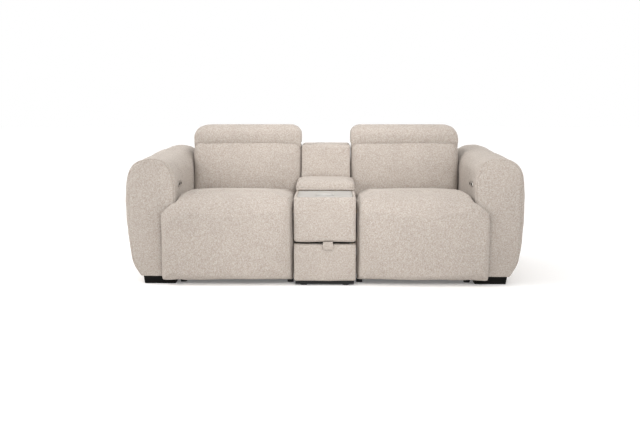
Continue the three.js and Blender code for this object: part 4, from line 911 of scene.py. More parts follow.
class SOFA_OT_backs(SofaPiece, bpy.types.Operator):
    """Upholster both reclining backs, in front and behind"""

    bl_idname = "sofa.backs"
    bl_label = "Backs"

    def execute(self, context):
        seam, fold = cloth_sizes(context)
        self.front_covers(fold)
        self.outer_covers(seam, fold)
        return {"FINISHED"}

    def front_covers(self, fold):
        """The pads one leans on, which draw back towards their tops. Each has a round socket in its top."""
        low, high = (BACK_INNER, 112.0, BACK_LOW), (BACK_OUTER, 261.0, BACK_TOP + 16)
        skin, faces, share = block_skin(low, high, 30.0, 10.0)
        keep_in(skin, 2, high=BACK_TOP)
        skin = crown(skin, share, low=(0, 11.0, 0), power=4.0)
        up = np.clip((skin[:, 2] - 358.0) / (BACK_TOP - 358.0), 0, 1.1)
        skin[:, 1] += 38.0 * up * up * np.clip((BACK_REAR - skin[:, 1]) / 149.0, 0, 1.2)
        filled = stuffed(
            "back_model", skin, faces,
            lambda at: (at[:, 1] > 240) | (at[:, 2] < 372) | (at[:, 2] > 688), 13.0)
        for side, sign in SIDES.items():
            back = cover_of(f"back_cover_{side}", filled, faces, sign)
            ruffle(back, 3.0, 130.0, 41 + sign)
            ruffle(back, fold * 0.8, 42.0, 51 + sign)
            at = points_of(back)
            over = SOCKET_RADIUS ** 2 - (at[:, 1] - SOCKET[0]) ** 2
            dip = SOCKET[1] - np.sqrt(np.maximum(over, 0))
            at[:, 2] = np.where(over > 0, np.minimum(at[:, 2], dip), at[:, 2])
            keep_across(at, sign, BACK_INNER - 0.6, BACK_OUTER + 1)
            keep_in(at, 1, high=BACK_REAR + 0.3)
            keep_in(at, 2, BACK_LOW - 1.5)
            set_points(back, at)
            settle(back, f"back_{side}", f"back_pad_{side}")

    def outer_covers(self, seam, fold):
        """The panels behind the backs, with a seam down near each side."""
        low, high = (BACK_INNER, PANEL_FRONT, 216.0), (BACK_OUTER, PANEL_REAR, 696.0)
        skin, faces, share = block_skin(low, high, 34.0, 12.0)
        skin = crown(skin, share, high=(0, 11.0, 0), power=3.0)
        up = np.clip((skin[:, 2] - 215) / 482, 0, 1)
        skin[:, 1] += 20.0 * up * (skin[:, 1] - 302) / 122
        down = ((428.0, 225.0), (436.0, 330.0), (446.0, 480.0), (450.0, 600.0), (442.0, 680.0))
        for side, sign in SIDES.items():
            outer = cover_of(f"outer_back_cover_{side}", skin, faces, sign)
            for x in (BACK_INNER + 40, BACK_OUTER - 40):
                sew(outer, [(x, y, z) for y, z in down], seam * 0.8, 6.0, sign)
            ruffle(outer, 2.5, 140.0, 61 + sign)
            ruffle(outer, fold * 0.7, 45.0, 71 + sign)
            at = points_of(outer)
            keep_in(at, 1, PANEL_FRONT - 0.1)
            keep_across(at, sign, BACK_INNER - 0.6, BACK_OUTER + 1)
            set_points(outer, at)
            settle(outer, f"back_{side}", f"back_panel_{side}")


class SOFA_OT_headrests(SofaPiece, bpy.types.Operator):
    """Upholster both headrests, with a round lower edge that turns in the back's top"""

    bl_idname = "sofa.headrests"
    bl_label = "Headrests"

    def execute(self, context):
        _, fold = cloth_sizes(context)
        points, faces = self.skin()
        filled = stuffed(
            "headrest_model", points, faces,
            lambda at: (at[:, 2] < 694) | ((at[:, 1] > 300) & (at[:, 2] < 712)), 8.0)
        for side, sign in SIDES.items():
            rest = cover_of(f"headrest_cover_{side}", filled, faces, sign)
            ruffle(rest, 2.4, 120.0, 81 + sign)
            ruffle(rest, fold * 0.8, 40.0, 91 + sign)
            at = points_of(rest)
            below = at[:, 2] < SOCKET[1]
            keep_across(at, sign, np.where(below, 144.4, 140.5), np.where(below, 751.6, 755.5))
            away = np.hypot(at[:, 1] - SOCKET[0], at[:, 2] - SOCKET[1])
            pull = np.where(below & (away > HEADREST_RADIUS), HEADREST_RADIUS / np.maximum(away, 1), 1.0)
            at[:, 1] = SOCKET[0] + (at[:, 1] - SOCKET[0]) * pull
            at[:, 2] = np.minimum(SOCKET[1] + (at[:, 2] - SOCKET[1]) * pull, HEADREST_TOP + 2)
            set_points(rest, at)
            settle(rest, f"headrest_{side}", f"headrest_pad_{side}")
        return {"FINISHED"}

    def skin(self):
        """The headrest as a closed skin, with its upper corners rolled at both ends."""
        inner, outer, top = HEADREST_INNER, HEADREST_OUTER, HEADREST_TOP
        line = arc(SOCKET, HEADREST_RADIUS - 0.5, 158, 360, 22) + [(HEADREST_REAR, 698.0)]
        line += arc((HEADREST_REAR - 40, top - 40), 40.0, 0, 90, 8)
        line += arc((HEADREST_FRONT + 38, top - 38), 38.0, 90, 180, 8)
        profile = even_steps(line, 8.0, closed=True)
        rings = []
        for x in stations(inner, outer, 40.0, 60.0, 10.0, 9):
            drop = max(roll_inset(x - inner, 40.0), roll_inset(outer - x, 60.0))
            inset = roll_inset(min(x - inner, outer - x), 26.0)
            up = np.clip((profile[:, 1] - 697) / (top - 697), 0, 1)
            share = (x - inner) / (outer - inner)
            moved = profile.copy()
            moved[:, 1] -= up * (drop + 3.0 * (2 * share - 1) ** 2)
            moved[:, 0] = SOCKET[0] + (moved[:, 0] - SOCKET[0]) * (1 - inset / 170)
            swell = np.sin(np.pi * np.clip((moved[:, 1] - 690) / 95, 0, 1))
            moved[:, 0] -= 7.0 * (np.clip((205 - moved[:, 0]) / 40, 0, 1) * swell)
            rings.append(np.column_stack([np.full(len(profile), x), moved]))
        return ring_skin(rings, 7, 2.0, 2.0)


# Console, lid and drawer


TRAY_HALF, TRAY_FRONT, TRAY_LOW = 139.4, -460.6, 449.6
CONSOLE_HALF, CONSOLE_FRONT, CONSOLE_TOP = 158.0, -470.0, 456.0
PAD_HALF, PAD_FRONT, PAD_LOW = 139.2, 119.4, 205.6


class SOFA_OT_console(SofaPiece, bpy.types.Operator):
    """Upholster the console: its front block round the tray, its sides and the pad behind it"""

    bl_idname = "sofa.console"
    bl_label = "Console Cover"

    def execute(self, context):
        seam, fold = cloth_sizes(context)
        self.front_block(fold)
        self.side_covers()
        self.back_pad(seam, fold)
        return {"FINISHED"}

    def front_block(self, fold):
        """The upper front, with a pocket for the tray."""
        low, high = (-CONSOLE_HALF, CONSOLE_FRONT + 1, 223.4), (CONSOLE_HALF, -425.8, CONSOLE_TOP)
        cuts = (-TRAY_HALF - 1.5, -TRAY_HALF, TRAY_HALF, TRAY_HALF + 1.5)
        skin, faces, share = block_skin(low, high, 17.0, 10.0, (cuts, (TRAY_FRONT - 1.5, TRAY_FRONT), ()))
        swell_front(skin, share, 4.0)
        pocket = (np.abs(skin[:, 0]) <= TRAY_HALF + 0.1) & (skin[:, 1] >= TRAY_FRONT - 0.1)
        keep_in(skin, 2, high=TRAY_LOW, where=pocket)
        block = cover_of("console_front_block", skin, faces)
        ruffle(block, 1.6, 90.0, 101, lambda at: (at[:, 1] < -440) & (at[:, 2] < 440))
        ruffle(block, fold * 0.55, 40.0, 102, lambda at: at[:, 1] < -462)
        at = points_of(block)
        inside = (np.abs(at[:, 0]) < TRAY_HALF + 0.05) & (at[:, 1] > TRAY_FRONT - 0.05)
        keep_in(at, 2, high=TRAY_LOW + 0.2, where=inside)
        keep_in(at, 1, high=-425.6)
        keep_in(at, 0, -CONSOLE_HALF - 0.4, CONSOLE_HALF + 0.4)
        set_points(block, at)
        settle(block, ROOT, "console_cover")

    def side_covers(self):
        """The cloth over the console's two sides, rolled over their top edges."""
        section = [(150.4, 23.4), (157.0, 23.4), (158.0, 30.0), (158.0, 444.0)]
        angles = np.linspace(0.2, math.pi / 2, 7)
        section += [(146 + 12 * math.cos(angle), 444 + 12 * math.sin(angle)) for angle in angles]
        section += [(141.0, 456.0), (139.5, 455.0), (139.5, 450.4), (150.4, 450.4)]
        section = even_steps(section, 7.0, closed=True)
        rings = [[(x, y, z) for x, z in section] for y in stations(-425.2, 103.6, 2.0, 5.0, 14.0, 3)]
        points, faces = ring_skin(rings, 2)
        for side, sign in SIDES.items():
            cover = mesh_piece(f"console_side_cover_{side}", points, faces, "upholstery", sign)
            outward(cover)
            settle(cover, ROOT, "console_cover")

    def back_pad(self, seam, fold):
        """The fixed pad between the backs, which leans back above the lid."""
        low, high = (-PAD_HALF, PAD_FRONT, PAD_LOW), (PAD_HALF, 422.0, 684.0)
        skin, faces, share = block_skin(low, high, 15.0, 11.0)
        skin = crown(skin, share, low=(0, 6.0, 0), high=(0, 3.0, 3.0), power=3.0)
        up = np.clip((skin[:, 2] - 504.3) / 180, 0, 1.02)
        skin[:, 1] += 34.0 * up * (422 - skin[:, 1]) / 303
        skin[:, 1] = np.maximum(skin[:, 1], PAD_FRONT - 0.5 + 6 * np.clip((505 - skin[:, 2]) / 30, -1, 0))
        pad = cover_of("console_back_cover", skin, faces)
        for x in (-104.0, 104.0):
            sew(pad, [(x, 118.0, 520.0), (x, 138.0, 600.0), (x, 152.0, 672.0)], seam * 0.35, 9.0)
        ruffle(pad, 2.2, 110.0, 111)
        ruffle(pad, fold * 0.7, 42.0, 112)
        at = points_of(pad)
        keep_in(at, 0, -PAD_HALF - 0.2, PAD_HALF + 0.2)
        keep_in(at, 1, 117.5, 427)
        keep_in(at, 2, PAD_LOW - 0.4)
        keep_in(at, 1, PAD_FRONT - 0.1, where=at[:, 2] < 506)
        set_points(pad, at)
        settle(pad, ROOT, "console_back_pad")


LID_HALF, LID_FRONT, LID_REAR, LID_LOW = 159.4, -185.4, 95.6, 458.4
HEM_HEIGHT = 469
DRAWER_HALF, DRAWER_LOW, DRAWER_TOP = 157.6, 24.4, 212.6
TAB_LEFT, TAB_RIGHT, TAB_LOW, TAB_TOP = -9.0, 41.0, 187.0, 227.6
TAB_CORNER = 9.0
TAB_OUTER = CONSOLE_FRONT - 0.7


class SOFA_OT_lid(SofaPiece, bpy.types.Operator):
    """Upholster the armrest lid, a pillow sewn round its lower edge"""

    bl_idname = "sofa.lid"
    bl_label = "Armrest Lid"

    def execute(self, context):
        seam, fold = cloth_sizes(context)
        low, high = (-LID_HALF, LID_FRONT, LID_LOW - 8), (LID_HALF, LID_REAR, 502.0)
        skin, faces, share = block_skin(low, high, 20.0, 8.0)
        keep_in(skin, 2, LID_LOW)
        skin = crown(skin, share, high=(0, 0, 8.0), power=4.0)
        filled = stuffed("lid_model", skin, faces, lambda at: (at[:, 2] < 464) | (at[:, 1] > 84), 5.0)
        lid = cover_of("lid_cover", filled, faces)
        hem = ((-157, -182), (157, -182)), ((-158.5, -182), (-158.5, 90)), ((158.5, -182), (158.5, 90))
        for start, end in hem:
            sew(lid, [(*start, HEM_HEIGHT), (*end, HEM_HEIGHT)], seam * 0.8, 3.5)
        ruffle(lid, 1.5, 90.0, 121)
        ruffle(lid, fold * 0.6, 38.0, 122)
        at = points_of(lid)
        keep_in(at, 0, -LID_HALF - 1, LID_HALF + 1)
        keep_in(at, 1, LID_FRONT - 0.6, LID_REAR + 0.4)
        at[:, 1] += 2.5 * np.clip((at[:, 1] - 60) / 36, 0, 1) * np.clip((at[:, 2] - 490) / 10, 0, 1)
        keep_in(at, 2, LID_LOW - 0.4, 513.0)
        set_points(lid, at)
        settle(lid, "lid", "lid_pad")
        return {"FINISHED"}


class SOFA_OT_drawer(SofaPiece, bpy.types.Operator):
    """Upholster the drawer front and sew its pull tab"""

    bl_idname = "sofa.drawer"
    bl_label = "Drawer Front And Tab"

    def execute(self, context):
        _, fold = cloth_sizes(context)
        low, high = (-DRAWER_HALF, CONSOLE_FRONT + 0.6, DRAWER_LOW), (DRAWER_HALF, -425.7, DRAWER_TOP)
        skin, faces, share = block_skin(low, high, 11.0, 9.0)
        swell_front(skin, share, 3.5)
        face = cover_of("drawer_front_cover", skin, faces)
        ruffle(face, 1.3, 90.0, 131, lambda at: at[:, 1] < -450)
        ruffle(face, fold * 0.5, 40.0, 132, lambda at: at[:, 1] < -462)
        at = points_of(face)
        keep_in(at, 0, -DRAWER_HALF - 0.3, DRAWER_HALF + 0.3)
        keep_in(at, 1, high=-425.5)
        behind_tab = (at[:, 0] > TAB_LEFT - 5) & (at[:, 0] < TAB_RIGHT + 5) & (at[:, 2] > TAB_LOW - 5)
        keep_in(at, 1, CONSOLE_FRONT - 0.2, where=behind_tab)
        set_points(face, at)
        settle(face, "drawer", "drawer_front")
        self.pull_tab(context.scene.sofa_console.tab_fold / MM)
        return {"FINISHED"}

    def pull_tab(self, thickness):
        """A folded tab with two round lower corners, and its root, which runs back into the drawer."""
        low, high = (TAB_LEFT, TAB_OUTER - thickness, TAB_LOW), (TAB_RIGHT, TAB_OUTER, TAB_TOP)
        skin, faces, _ = block_skin(low, high, 2.3, 4.0)
        skin[:, 1] -= np.sin((skin[:, 2] - TAB_LOW) / 40 * math.pi)
        for x, sign in ((TAB_LEFT + TAB_CORNER, -1), (TAB_RIGHT - TAB_CORNER, 1)):
            beyond = (skin[:, 0] - x) * sign
            under = TAB_LOW + TAB_CORNER - skin[:, 2]
            at = (beyond > 0) & (under > 0)
            pull = np.maximum(beyond, under) / np.maximum(np.hypot(beyond, under), 1e-9)
            skin[:, 0] = np.where(at, x + sign * beyond * pull, skin[:, 0])
            skin[:, 2] = np.where(at, TAB_LOW + TAB_CORNER - under * pull, skin[:, 2])
        low, high = (TAB_LEFT + 2, TAB_OUTER - 1.5, 213.5), (TAB_RIGHT - 2, -448.9, 217.1)
        root, root_faces, _ = block_skin(low, high, 1.7, 5.0)
        faces = faces + [[at + len(skin) for at in face] for face in root_faces]
        tab = cover_of("pull_tab_cover", np.vstack([skin, root]), faces)
        settle(tab, "drawer", "pull_tab")


class SOFA_OT_skirt(SofaPiece, bpy.types.Operator):
    """Cover the low panel between the arms, behind the seats"""

    bl_idname = "sofa.skirt"
    bl_label = "Rear Skirt"

    def execute(self, context):
        _, fold = cloth_sizes(context)
        skin, faces, share = block_skin((-756.0, 415.2, 45.4), (756.0, 430.0, 204.8), 6.0, 16.0)
        skin = crown(skin, share, high=(0, 1.5, 0), power=4.0)
        skirt = mesh_piece("skirt_cover", skin, faces, "upholstery")
        outward(skirt)
        ruffle(skirt, fold * 0.6, 60.0, 141, lambda at: at[:, 1] > 425)
        settle(skirt, ROOT, "back_skirt")
        return {"FINISHED"}


class SOFA_OT_edge_strips(SofaPiece, bpy.types.Operator):
    """Cover the carcass edges round the storage bin and behind the lid, and fill the gap above the drawer
    with a black strip, a painted shadow
    """

    bl_idname = "sofa.edge_strips"
    bl_label = "Edge Strips"

    def execute(self, context):
        for name, body, slot, low, high in (
            # painted shadow: a black sheet set in the gap above the drawer so the gap reads as a dark shadow
            # line
            ("dust_cloth_strip", ROOT, "black_plastic", (-157.0, -426.7, 213.4), (157.0, -425.2, 223.2)),
            ("bin_rim_binding", ROOT, "upholstery", (-139.3, -185.4, 453.5), (139.3, -175.5, 455.2)),
            ("hinge_flap", ROOT, "upholstery", (-138.6, 104.3, 499.1), (138.6, 118.9, 500.7)),
            ("lid_rear_binding", "lid", "upholstery", (-150.7, 94.0, 457.0), (150.7, 101.9, 501.4)),
        ):
            skin, faces, _ = block_skin(low, high, 0.5, 12.0)
            strip = mesh_piece(name, skin, faces, slot)
            outward(strip)
            settle(strip, body)
        return {"FINISHED"}


# Fittings


FOOT_HEIGHT, FOOT_LENGTH, FOOT_TAPER = 41.7, 70, 5.0
BUTTON_HEIGHT = 509.0
BUTTON_PROFILE = (
    (0, 755.1), (5.6, 755.1), (6.3, 754.6), (6.4, 753.2), (6.2, 752.0), (5.7, 751.3), (5.0, 751.0),
    (4.2, 751.2), (2.0, 751.55), (0, 751.6),
)


def cup_profile(radius):
    """The cup holder's section, from the middle of its underside round to the middle of its floor."""
    foot, floor = radius * 0.88, radius * 0.82
    return [
        (0, 382.6), (foot - 4, 382.6), (foot - 1.2, 383.4), (foot + 0.8, 386.0), (radius + 1.4, 450.0),
        (radius + 1.6, 454.25), (radius + 7.3, 454.3), (radius + 7.8, 455.0), (radius + 7.2, 455.9),
        (radius + 4, 456.3), (radius + 1.4, 455.8), (radius - 0.3, 453.6), (floor + 1.4, 390.0),
        (floor - 0.6, 386.4), (floor - 4, 385.0), (floor * 0.5, 384.8), (0, 384.8),
    ]


class SOFA_OT_fittings(SofaPiece, bpy.types.Operator):
    """Make the cup holder, the control buttons and the feet"""

    bl_idname = "sofa.fittings"
    bl_label = "Fittings"

    def execute(self, context):
        radius = context.scene.sofa_console.cup_radius / MM
        cup = turned("cup_holder_cover", cup_profile(radius), (0.0, -361.0), "tray_plastic", 64)
        settle(cup, ROOT, "cup_holder")
        for side, sign in SIDES.items():
            for place, y in (("front", -352.0), ("rear", -300.0)):
                self.button(f"{place}_{side}", y, sign)
            for place, y in (("front", -426.0), ("rear", 401.0)):
                self.foot(f"{place}_{side}", y, sign)
        return {"FINISHED"}

    def button(self, place, y, sign):
        """A cap turned on an axis along X, with a shallow dish for the finger."""
        cap = turned(f"button_cap_{place}", BUTTON_PROFILE, (0, 0), "black_plastic", 40)
        at = points_of(cap)
        set_points(cap, np.stack([sign * at[:, 2], y + at[:, 0], BUTTON_HEIGHT + at[:, 1]], axis=1))
        outward(cap)
        settle(cap, f"button_{place}", f"button_{place}")

    def foot(self, place, y, sign):
        """A block that narrows towards the floor."""
        skin, faces, _ = block_skin((765.0, y, 0.0), (935.0, y + FOOT_LENGTH, FOOT_HEIGHT), 3.0, 12.0)
        taper = (FOOT_HEIGHT - skin[:, 2]) / FOOT_HEIGHT * FOOT_TAPER
        skin[:, 0] -= taper * np.clip((skin[:, 0] - 850) / 80, -1, 1)
        skin[:, 1] -= taper * np.clip((skin[:, 1] - y - FOOT_LENGTH / 2) / 30, -1, 1)
        foot = mesh_piece(f"foot_block_{place}", skin, faces, "black_wood", sign)
        outward(foot)
        settle(foot, ROOT, f"foot_{place}")


class SOFA_OT_frame_finishes(SofaPiece, bpy.types.Operator):
    """Give every solid that stays in view the finish of its own slot"""

    bl_idname = "sofa.frame_finishes"
    bl_label = "Frame Finishes"

    def execute(self, context):
        for part in frame["record"]["subparts"]:
            for place in frame["nodes"][part["node"]].material_slots:
                place.material = finish_of(part["material_slot"])
        return {"FINISHED"}


# Stitches, rivets and screws, repeated by Geometry Nodes


def repeat_tree(name, inputs):
    """An empty node tree for a repeat, with its named inputs, and its input and output nodes."""
    tree = bpy.data.node_groups.new(name, "GeometryNodeTree")
    tree.interface.new_socket("Geometry", in_out="INPUT", socket_type="NodeSocketGeometry")
    sockets = {}
    for label, value in inputs.items():
        kind = "NodeSocketVector" if isinstance(value, tuple) else "NodeSocketFloat"
        socket = tree.interface.new_socket(label, in_out="INPUT", socket_type=kind)
        socket.default_value = value
        sockets[label] = socket.identifier
    tree.interface.new_socket("Geometry", in_out="OUTPUT", socket_type="NodeSocketGeometry")
    return tree, add_node(tree, "NodeGroupInput"), add_node(tree, "NodeGroupOutput"), sockets


def close_tree(tree, instances, output, slot):
    """Ends a tree in Realize Instances and Set Material."""
    solid = add_node(tree, "GeometryNodeRealizeInstances", links={"Geometry": instances})
    painted = add_node(
        tree, "GeometryNodeSetMaterial", {}, {"Material": finish_of(slot)}, {"Geometry": solid.outputs[0]})
    tree.links.new(painted.outputs[0], output.inputs[0])


def stitch_tree():
    """One stitch after another along each line: a grain of thread in every step."""
    tree, given, output, sockets = repeat_tree("Stitches", {"Pitch": 0.007, "Thread": 0.0009})
    curve = add_node(tree, "GeometryNodeMeshToCurve", links={"Mesh": given.outputs["Geometry"]})
    steps = add_node(
        tree, "GeometryNodeResampleCurve", {"mode": "LENGTH"}, {},
        {"Curve": curve.outputs[0], "Length": given.outputs["Pitch"]})
    tangent = add_node(tree, "GeometryNodeInputTangent")
    turn = add_node(
        tree, "FunctionNodeAlignRotationToVector", {"axis": "Z"}, {}, {"Vector": tangent.outputs[0]})
    grain = add_node(tree, "GeometryNodeMeshUVSphere", {}, {"Segments": 6, "Rings": 5, "Radius": 0.5})
    long = add_node(tree, "ShaderNodeMath", {"operation": "MULTIPLY"}, {1: 0.72}, {0: given.outputs["Pitch"]})
    scale = add_node(
        tree, "ShaderNodeCombineXYZ", {}, {},
        {"X": given.outputs["Thread"], "Y": given.outputs["Thread"], "Z": long.outputs[0]})
    placed = add_node(tree, "GeometryNodeInstanceOnPoints", links={
        "Points": steps.outputs[0], "Instance": grain.outputs[0],
        "Rotation": turn.outputs[0], "Scale": scale.outputs[0],
    })
    close_tree(tree, placed.outputs[0], output, "thread")
    return tree, sockets


def fastener_tree(name, slot, sides):
    """A washer under a head at every point, facing the way the points' normals give."""
    tree, given, output, sockets = repeat_tree(
        name, {"Radius": 0.009, "Height": 0.0016, "Facing": (1.0, 0.0, 0.0)})
    times = {"operation": "MULTIPLY"}
    wide = add_node(tree, "ShaderNodeMath", times, {1: 0.62}, {0: given.outputs["Radius"]})
    thin = add_node(tree, "ShaderNodeMath", times, {1: 0.45}, {0: given.outputs["Height"]})
    washer = add_node(
        tree, "GeometryNodeMeshCylinder", {}, {"Vertices": 20},
        {"Radius": given.outputs["Radius"], "Depth": thin.outputs[0]})
    head = add_node(
        tree, "GeometryNodeMeshCylinder", {}, {"Vertices": sides},
        {"Radius": wide.outputs[0], "Depth": given.outputs["Height"]})
    both = add_node(tree, "GeometryNodeJoinGeometry")
    tree.links.new(washer.outputs["Mesh"], both.inputs[0])
    tree.links.new(head.outputs["Mesh"], both.inputs[0])
    turn = add_node(
        tree, "FunctionNodeAlignRotationToVector", {"axis": "Z"}, {}, {"Vector": given.outputs["Facing"]})
    placed = add_node(
        tree, "GeometryNodeInstanceOnPoints", {}, {},
        {"Points": given.outputs["Geometry"], "Instance": both.outputs[0], "Rotation": turn.outputs[0]})
    close_tree(tree, placed.outputs[0], output, slot)
    return tree, sockets


def repeat(name, lines, tree, sockets, values, body, slot):
    """Runs a tree over lines or points in millimetres, and puts the plain mesh it makes on a body."""
    points, edges = [], []
    for line in lines:
        edges += [(len(points) + at, len(points) + at + 1) for at in range(len(line) - 1)]
        points += [tuple(np.asarray(point) * MM) for point in line]
    mesh = bpy.data.meshes.new(name)
    mesh.from_pydata(points, edges, [])
    piece = bpy.data.objects.new(name, mesh)
    bpy.context.scene.collection.objects.link(piece)
    modifier = piece.modifiers.new("Repeat", "NODES")
    modifier.node_group = tree
    for label, value in values.items():
        modifier[sockets[label]] = value
    apply_modifier(piece)
    if not len(piece.data.polygons):
        raise RuntimeError(f"{name}: the tree made nothing")
    settle(piece, body)


THREAD_ABOVE = 0.1
TAB_THREAD = {"Pitch": 0.0042, "Thread": 0.0008}
BOX_LEFT, BOX_RIGHT, BOX_LOW, BOX_HIGH = -4.0, 36.0, 209.0, 223.0
RIVET = {"Radius": 0.009, "Height": 0.0016}
SCREW = {"Radius": 0.0024, "Height": 0.0008}
BOLT = {"Radius": 0.011, "Height": 0.005}


class SOFA_OT_stitches(SofaPiece, bpy.types.Operator):
    """Sew a row of stitches along the arm panels and the pull tab"""

    bl_idname = "sofa.stitches"
    bl_label = "Stitches"

    def execute(self, context):
        pitch = context.scene.sofa_upholstery.stitch_pitch
        tree, sockets = stitch_tree()
        for side, sign in SIDES.items():
            cover = bpy.data.objects[f"arm_cover_{side}"]
            line = arm_seam(ARM_FRONT + 12, 0.08, 0.94)
            line[:, 0] *= sign
            lines = [self.laid_on(cover, even_steps(line, 6.0))]
            repeat(f"arm_stitches_{side}", lines, tree, sockets, {"Pitch": pitch}, ROOT, "upholstery")
        y = TAB_OUTER - context.scene.sofa_console.tab_fold / MM - 0.7
        corners = ((BOX_LEFT, BOX_LOW), (BOX_RIGHT, BOX_LOW), (BOX_RIGHT, BOX_HIGH), (BOX_LEFT, BOX_HIGH))
        box = [(x, y, z) for x, z in (*corners, corners[0])]
        cross = [[(x, y - 0.2, z) for x, z in pair] for pair in (corners[0::2], corners[3:0:-2])]
        lines = [even_steps(line, 3.0) for line in (box, *cross)]
        repeat("pull_tab_stitches", lines, tree, sockets, TAB_THREAD, "drawer", "upholstery")
        return {"FINISHED"}

    def laid_on(self, cover, line):
        """The line, moved onto the nearest place of the cover."""
        laid = []
        for point in line:
            found, place, normal, _ = cover.closest_point_on_mesh(Vector(point) * MM)
            if not found:
                raise RuntimeError("a stitch lies too far from its cover")
            laid.append(np.array(place + normal * (THREAD_ABOVE * MM)) / MM)
        return laid


class SOFA_OT_fasteners(SofaPiece, bpy.types.Operator):
    """Set rivets in the mechanism plates, bolts in the rear rail and screws in the control plates"""

    bl_idname = "sofa.fasteners"
    bl_label = "Fasteners"

    def execute(self, context):
        rivets = fastener_tree("Rivets", "bright_steel", 16)
        bolts = fastener_tree("Bolts", "bright_steel", 6)
        screws = fastener_tree("Screws", "black_plastic", 12)
        tubes = [(-325.0, 62.0), (191.0, 62.0), (75.0, 248.7)]
        for side, sign in SIDES.items():
            for place, x, way in (("inner", 161.3, -1), ("outer", 754.7, 1)):
                points = [[(sign * x, y, z)] for y, z in tubes]
                values = {**RIVET, "Facing": (float(sign * way), 0.0, 0.0)}
                repeat(f"plate_rivets_{place}_{side}", points, *rivets, values, ROOT, "bright_steel")
            points = [[(sign * 753.2, y, BUTTON_HEIGHT)] for y in (-366.0, -286.0)]
            values = {**SCREW, "Facing": (float(-sign), 0.0, 0.0)}
            repeat(f"plate_screws_{side}", points, *screws, values, ROOT, "black_plastic")
        across = (-700.0, -420.0, -200.0, 200.0, 420.0, 700.0)
        points = [[(x, 374.2, z)] for x in across for z in (72.0, 118.0)]
        repeat("rail_bolts", points, *bolts, {**BOLT, "Facing": (0.0, -1.0, 0.0)}, ROOT, "bright_steel")
        return {"FINISHED"}


# Stage


PAPER_RINGS = (1500.0, 3000.0, 6000.0, 12000.0, 24000.0)
PAPER_SIDES = 96
PAPER_DROP = -0.4
LAMP_WHITE = "FFFDFB"
LAMPS = (
    ("key_light", (-3.8, -1.2, 3.0), (0.0, 0.0, 0.4), 2.0, 72.0, 180.0),
    ("top_light", (-0.4, 0.2, 3.4), (0.0, 0.1, 0.0), 2.6, 12.0, 180.0),
    ("fill_light", (0.9, -3.3, 2.1), (-0.1, 0.3, 0.76), 1.4, 8.6, 46.0),
)


def studio_paper(tree, shader, place, colour):
    """Matt studio paper, an even, soft white with no gloss. Its faint glow hides the horizon."""
    for name, value in {
        "Base Color": colour, "Roughness": 0.95, "Specular IOR Level": 0.15,
        "Emission Color": linear("FFFFFF"), "Emission Strength": 0.14,
    }.items():
        shader.inputs[name].default_value = value


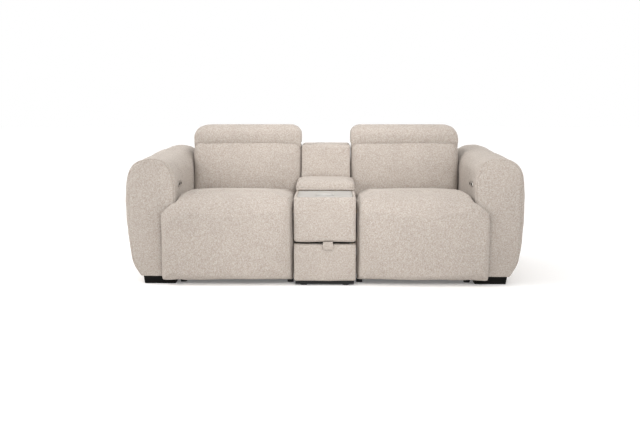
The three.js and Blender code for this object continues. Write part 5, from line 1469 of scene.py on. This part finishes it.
class SOFA_OT_stage(SofaPiece, bpy.types.Operator):
    """Roll out a pale floor, and set soft lights and the camera"""

    bl_idname = "sofa.stage"
    bl_label = "Stage"

    def execute(self, context):
        choices = context.scene.sofa_stage
        self.paper(tuple(choices.floor_colour))
        for lamp in LAMPS:
            self.light(*lamp)
        world = bpy.data.worlds.new("studio")
        world.use_nodes = True
        background = world.node_tree.nodes["Background"]
        background.inputs["Color"].default_value = linear("FFFFFF")
        background.inputs["Strength"].default_value = 1.0
        context.scene.world = world
        context.scene.view_settings.view_transform = "Standard"
        camera = bpy.data.cameras.new("camera")
        camera.lens = choices.lens
        camera.sensor_width = 36.0
        camera.clip_end = 60.0
        eye = bpy.data.objects.new("camera", camera)
        context.scene.collection.objects.link(eye)
        eye.location = (choices.aside, CONSOLE_FRONT * MM - choices.distance, choices.height)
        eye.rotation_euler = (math.pi / 2 - choices.tilt, 0.0, choices.pan)
        context.scene.camera = eye
        return {"FINISHED"}

    def paper(self, colour):
        """A wide round sheet just under the sofa's feet."""
        angles = np.linspace(0, 2 * math.pi, PAPER_SIDES, endpoint=False)
        points = [(0.0, 0.0, PAPER_DROP)]
        for radius in PAPER_RINGS:
            points += [(radius * math.cos(angle), radius * math.sin(angle), PAPER_DROP) for angle in angles]
        faces = []
        for step in range(PAPER_SIDES):
            a, b = 1 + step, 1 + (step + 1) % PAPER_SIDES
            faces.append([0, a, b])
            for ring in range(0, (len(PAPER_RINGS) - 1) * PAPER_SIDES, PAPER_SIDES):
                faces.append([a + ring, a + ring + PAPER_SIDES, b + ring + PAPER_SIDES, b + ring])
        paper = mesh_piece("studio_paper", points, faces, "upholstery")
        paper.data.materials[0] = make_material(studio_paper, colour)

    def light(self, name, place, target, size, power, spread):
        """A round soft light that looks at a target. Its power is in watts, its spread in degrees."""
        lamp = bpy.data.lights.new(name, "AREA")
        lamp.shape = "DISK"
        lamp.size = size
        lamp.energy = power
        lamp.spread = math.radians(spread)
        lamp.color = linear(LAMP_WHITE, alpha=False)
        holder = bpy.data.objects.new(name, lamp)
        bpy.context.scene.collection.objects.link(holder)
        holder.location = place
        holder.rotation_euler = (Vector(target) - Vector(place)).to_track_quat("-Z", "Y").to_euler()


class SOFA_PT_panel(bpy.types.Panel):
    """Lists the steps that build the sofa"""

    bl_label = "Sofa With Console"
    bl_idname = "SOFA_PT_panel"
    bl_space_type = "VIEW_3D"
    bl_region_type = "UI"
    bl_category = "Sofa"

    def draw(self, context):
        for group in CHOICES:
            choices = getattr(context.scene, group)
            box = self.layout.box()
            for label in type(choices).__annotations__:
                box.prop(choices, label)
        for step in STEPS:
            self.layout.operator(step.bl_idname)


STEPS = (
    SOFA_OT_frame_finishes, SOFA_OT_arms, SOFA_OT_seats, SOFA_OT_backs, SOFA_OT_headrests,
    SOFA_OT_console, SOFA_OT_lid, SOFA_OT_drawer, SOFA_OT_skirt, SOFA_OT_edge_strips,
    SOFA_OT_fittings, SOFA_OT_stitches, SOFA_OT_fasteners, SOFA_OT_stage,
)
CHOICES = {"sofa_upholstery": SofaUpholstery, "sofa_console": SofaConsole, "sofa_stage": SofaStage}


def register():
    for kind in (*CHOICES.values(), *STEPS, SOFA_PT_panel):
        bpy.utils.register_class(kind)
    for name, kind in CHOICES.items():
        setattr(bpy.types.Scene, name, bpy.props.PointerProperty(type=kind))


def unregister():
    for name in CHOICES:
        delattr(bpy.types.Scene, name)
    for kind in (SOFA_PT_panel, *reversed(STEPS), *CHOICES.values()):
        bpy.utils.unregister_class(kind)


def main():
    register()
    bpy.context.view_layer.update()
    bpy.ops.sofa.frame_finishes()
    bpy.ops.sofa.arms()
    bpy.ops.sofa.seats()
    bpy.ops.sofa.backs()
    bpy.ops.sofa.headrests()
    bpy.ops.sofa.console()
    bpy.ops.sofa.lid()
    bpy.ops.sofa.drawer()
    bpy.ops.sofa.skirt()
    bpy.ops.sofa.edge_strips()
    bpy.ops.sofa.fittings()
    bpy.ops.sofa.stitches()
    bpy.ops.sofa.fasteners()
    bpy.ops.sofa.stage()


if __name__ == "__main__":
    main()
